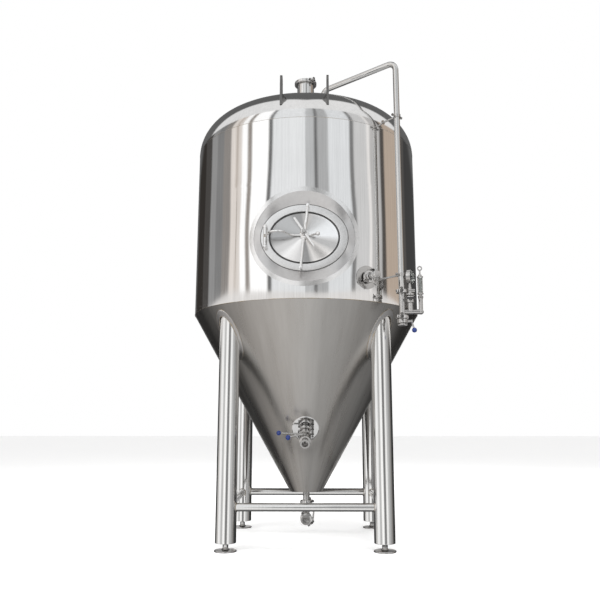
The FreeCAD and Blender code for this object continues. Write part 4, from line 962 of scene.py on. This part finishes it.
def build_world():
    """A white backdrop for the camera, and for everything else the studio that the steel mirrors."""
    world = bpy.data.worlds.new("studio")
    bpy.context.scene.world = world
    world.use_nodes = True
    tree = world.node_tree
    shader = tree.nodes["Background"]
    link = tree.links.new

    def math(operation, a, b=0.0):
        made = tree.nodes.new("ShaderNodeMath")
        made.operation = operation
        for index, value in enumerate((a, b)):
            if isinstance(value, bpy.types.NodeSocket):
                link(value, made.inputs[index])
            else:
                made.inputs[index].default_value = value
        return made.outputs[0]

    def step(value, low, high):
        made = tree.nodes.new("ShaderNodeMapRange")
        made.interpolation_type = "SMOOTHSTEP"
        link(value, made.inputs["Value"])
        made.inputs["From Min"].default_value, made.inputs["From Max"].default_value = low, high
        return made.outputs["Result"]

    def mix(factor, a, b):
        made = tree.nodes.new("ShaderNodeMix")
        made.data_type = "RGBA"
        link(factor, made.inputs["Factor"])
        for key, value in (("A", a), ("B", b)):
            socket = next(s for s in made.inputs if s.name == key and s.type == "RGBA")
            if isinstance(value, bpy.types.NodeSocket):
                link(value, socket)
            else:
                socket.default_value = (*value, 1)
        return next(s for s in made.outputs if s.type == "RGBA")

    way = tree.nodes.new("ShaderNodeTexCoord").outputs["Generated"]
    apart = tree.nodes.new("ShaderNodeSeparateXYZ")
    link(way, apart.inputs["Vector"])
    x, y, z = (apart.outputs[k] for k in "XYZ")
    front = math("MULTIPLY", y, -1)
    azimuth = math("DIVIDE", math("ARCTAN2", x, front), pi)
    right = band_ramp(tree, azimuth, [(a / 180, c) for a, c in RIGHT_BANDS])
    left = band_ramp(tree, math("MULTIPLY", azimuth, -1), [(a / 180, c) for a, c in LEFT_BANDS])
    walls = mix(math("GREATER_THAN", x, 0), left, right)
    around = math("ADD", math("MULTIPLY", azimuth, 0.5), 0.5)
    low = band_ramp(tree, around, [((a + 180) / 360, c) for a, c in LOW_BANDS], 0.007)
    ground = band_ramp(tree, around, [((a + 180) / 360, c) for a, c in FLOOR_BANDS], 0.03)
    behind = math("SUBTRACT", 1.0, front)
    foot_line = math("ADD", z, math("MULTIPLY", math("MULTIPLY", behind, behind), 0.02))
    top_line = math("SUBTRACT", z, math("MULTIPLY", front, 0.30))
    roof = math("ADD", front, math("MULTIPLY", math("ABSOLUTE", x), 0.75))
    under = mix(step(z, -0.96, -0.82), grey(0.16), ground)
    horizon = mix(step(z, -0.34, -0.26), under, low)
    lower = mix(step(foot_line, 0.150, 0.185), horizon, grey(0.88, 0.02))
    upright = mix(step(foot_line, 0.199, 0.205), lower, walls)
    ceiling = mix(step(roof, 0.04, 0.16), grey(0.14), grey(0.95))
    everything = mix(step(top_line, 0.58, 0.62), upright, ceiling)
    camera_ray = tree.nodes.new("ShaderNodeLightPath").outputs["Is Camera Ray"]
    link(mix(camera_ray, everything, (1, 1, 1)), shader.inputs["Color"])
    shader.inputs["Strength"].default_value = 1.0


def area_light(name, place, target, size, power):
    """A soft white light that the steel doesn't mirror."""
    data = bpy.data.lights.new(name, "AREA")
    data.shape, data.energy = "RECTANGLE", power
    data.size, data.size_y = size
    lamp = bpy.data.objects.new(name, data)
    bpy.context.scene.collection.objects.link(lamp)
    lamp.location = place
    lamp.visible_glossy = False
    lamp.rotation_euler = (Vector(target) - Vector(place)).to_track_quat("-Z", "Y").to_euler()


def build_floor():
    """A plain pale floor, lit a little from itself so that it meets the white backdrop softly."""
    look = Finish("pale_floor", (0.86, 0.86, 0.86), 0.7)
    clouds = look.noise(look.place(), 0.8, 3.0)
    look.link(look.blend(look.span(clouds, 0.3, 0.7, 0, 1), (0.85, 0.85, 0.85), (0.88, 0.88, 0.88)),
              "Base Color")
    look.shader.inputs["Emission Color"].default_value = (1, 1, 1, 1)
    look.shader.inputs["Emission Strength"].default_value = 0.42
    half, cells = 30.0, 6
    mesh = bpy.data.meshes.new("floor")
    points = [(half * (2 * i / cells - 1), half * (2 * j / cells - 1), 0.0)
              for i in range(cells + 1) for j in range(cells + 1)]
    faces = [(i * (cells + 1) + j, (i + 1) * (cells + 1) + j, (i + 1) * (cells + 1) + j + 1,
              i * (cells + 1) + j + 1) for i in range(cells) for j in range(cells)]
    mesh.from_pydata(points, [], faces)
    mesh.materials.append(look.material)
    floor = bpy.data.objects.new("floor", mesh)
    bpy.context.scene.collection.objects.link(floor)
    floor.visible_glossy = False


CAMERA_PLACE, CAMERA_TILT, CAMERA_TURN = (0.0622, -4.0383, 0.6416), radians(101.1), radians(1.0)


def build_camera():
    """The photograph's viewpoint: low, close and looking up."""
    data = bpy.data.cameras.new("camera")
    data.sensor_width, data.lens = 36.0, 40.73
    data.shift_x, data.shift_y = -0.008, -0.0173
    data.clip_end = 200.0
    camera = bpy.data.objects.new("camera", data)
    bpy.context.scene.collection.objects.link(camera)
    camera.location = CAMERA_PLACE
    camera.rotation_euler = (CAMERA_TILT, 0, CAMERA_TURN)
    bpy.context.scene.camera = camera


# ---- building it all -------------------------------------------------------------------------------

build_camera()
build_world()
build_floor()
area_light("top_front_softbox", (-0.6, -2.6, 4.9), (0, -0.8, 0.4), (5.0, 2.4), 170)
area_light("back_softbox", (0.8, 3.4, 4.6), (0, 0.8, 0.6), (4.5, 2.0), 110)
bpy.context.scene.view_settings.view_transform = "Standard"

build_drum()
build_skins()
build_foam()
build_seams()
build_surround()
build_ring()
build_lid()
build_arm()
build_bridge()
build_legs()
build_tie_bars()

coat(inner_steel, "inner_vessel", "cooling_jackets", "spray_ball")
coat(seal_rubber, "manway_gasket", "clamp_gaskets")
coat(turned_steel, "racking_arm", "racking_valve_body", "racking_valve_lever", "outlet_pipe",
     "outlet_elbow", "outlet_valve_body", "outlet_valve_lever", "sample_port", "sample_valve_body",
     "sample_valve_knob", "pipe_brackets", "line_manifold", "line_valve_body", "line_valve_lever",
     "gauge_riser", "gauge_case", "relief_valve_body", "relief_valve_knob", "thermowell", "cooling_ports",
     "top_port_cap")
coat(pipe_steel, "cleaning_pipe", "top_port")
coat(dark_steel, "lifting_lugs")
coat(head_steel, "racking_port")
build_clamps()
coat(glass, "gauge_glass", "relief_sight_glass")
coat(black_plastic, "gauge_tap_handle")
coat(dial_ink, "gauge_needle")
build_grip("racking_arm_grip", "racking_arm", "racking_arm_ball")
build_grip("racking_valve_grip", "racking_valve", "racking_valve_ball")
build_grip("outlet_valve_grip", "outlet_valve", "outlet_valve_ball")
build_grip("line_valve_grip", "line_valve", "line_valve_ball")
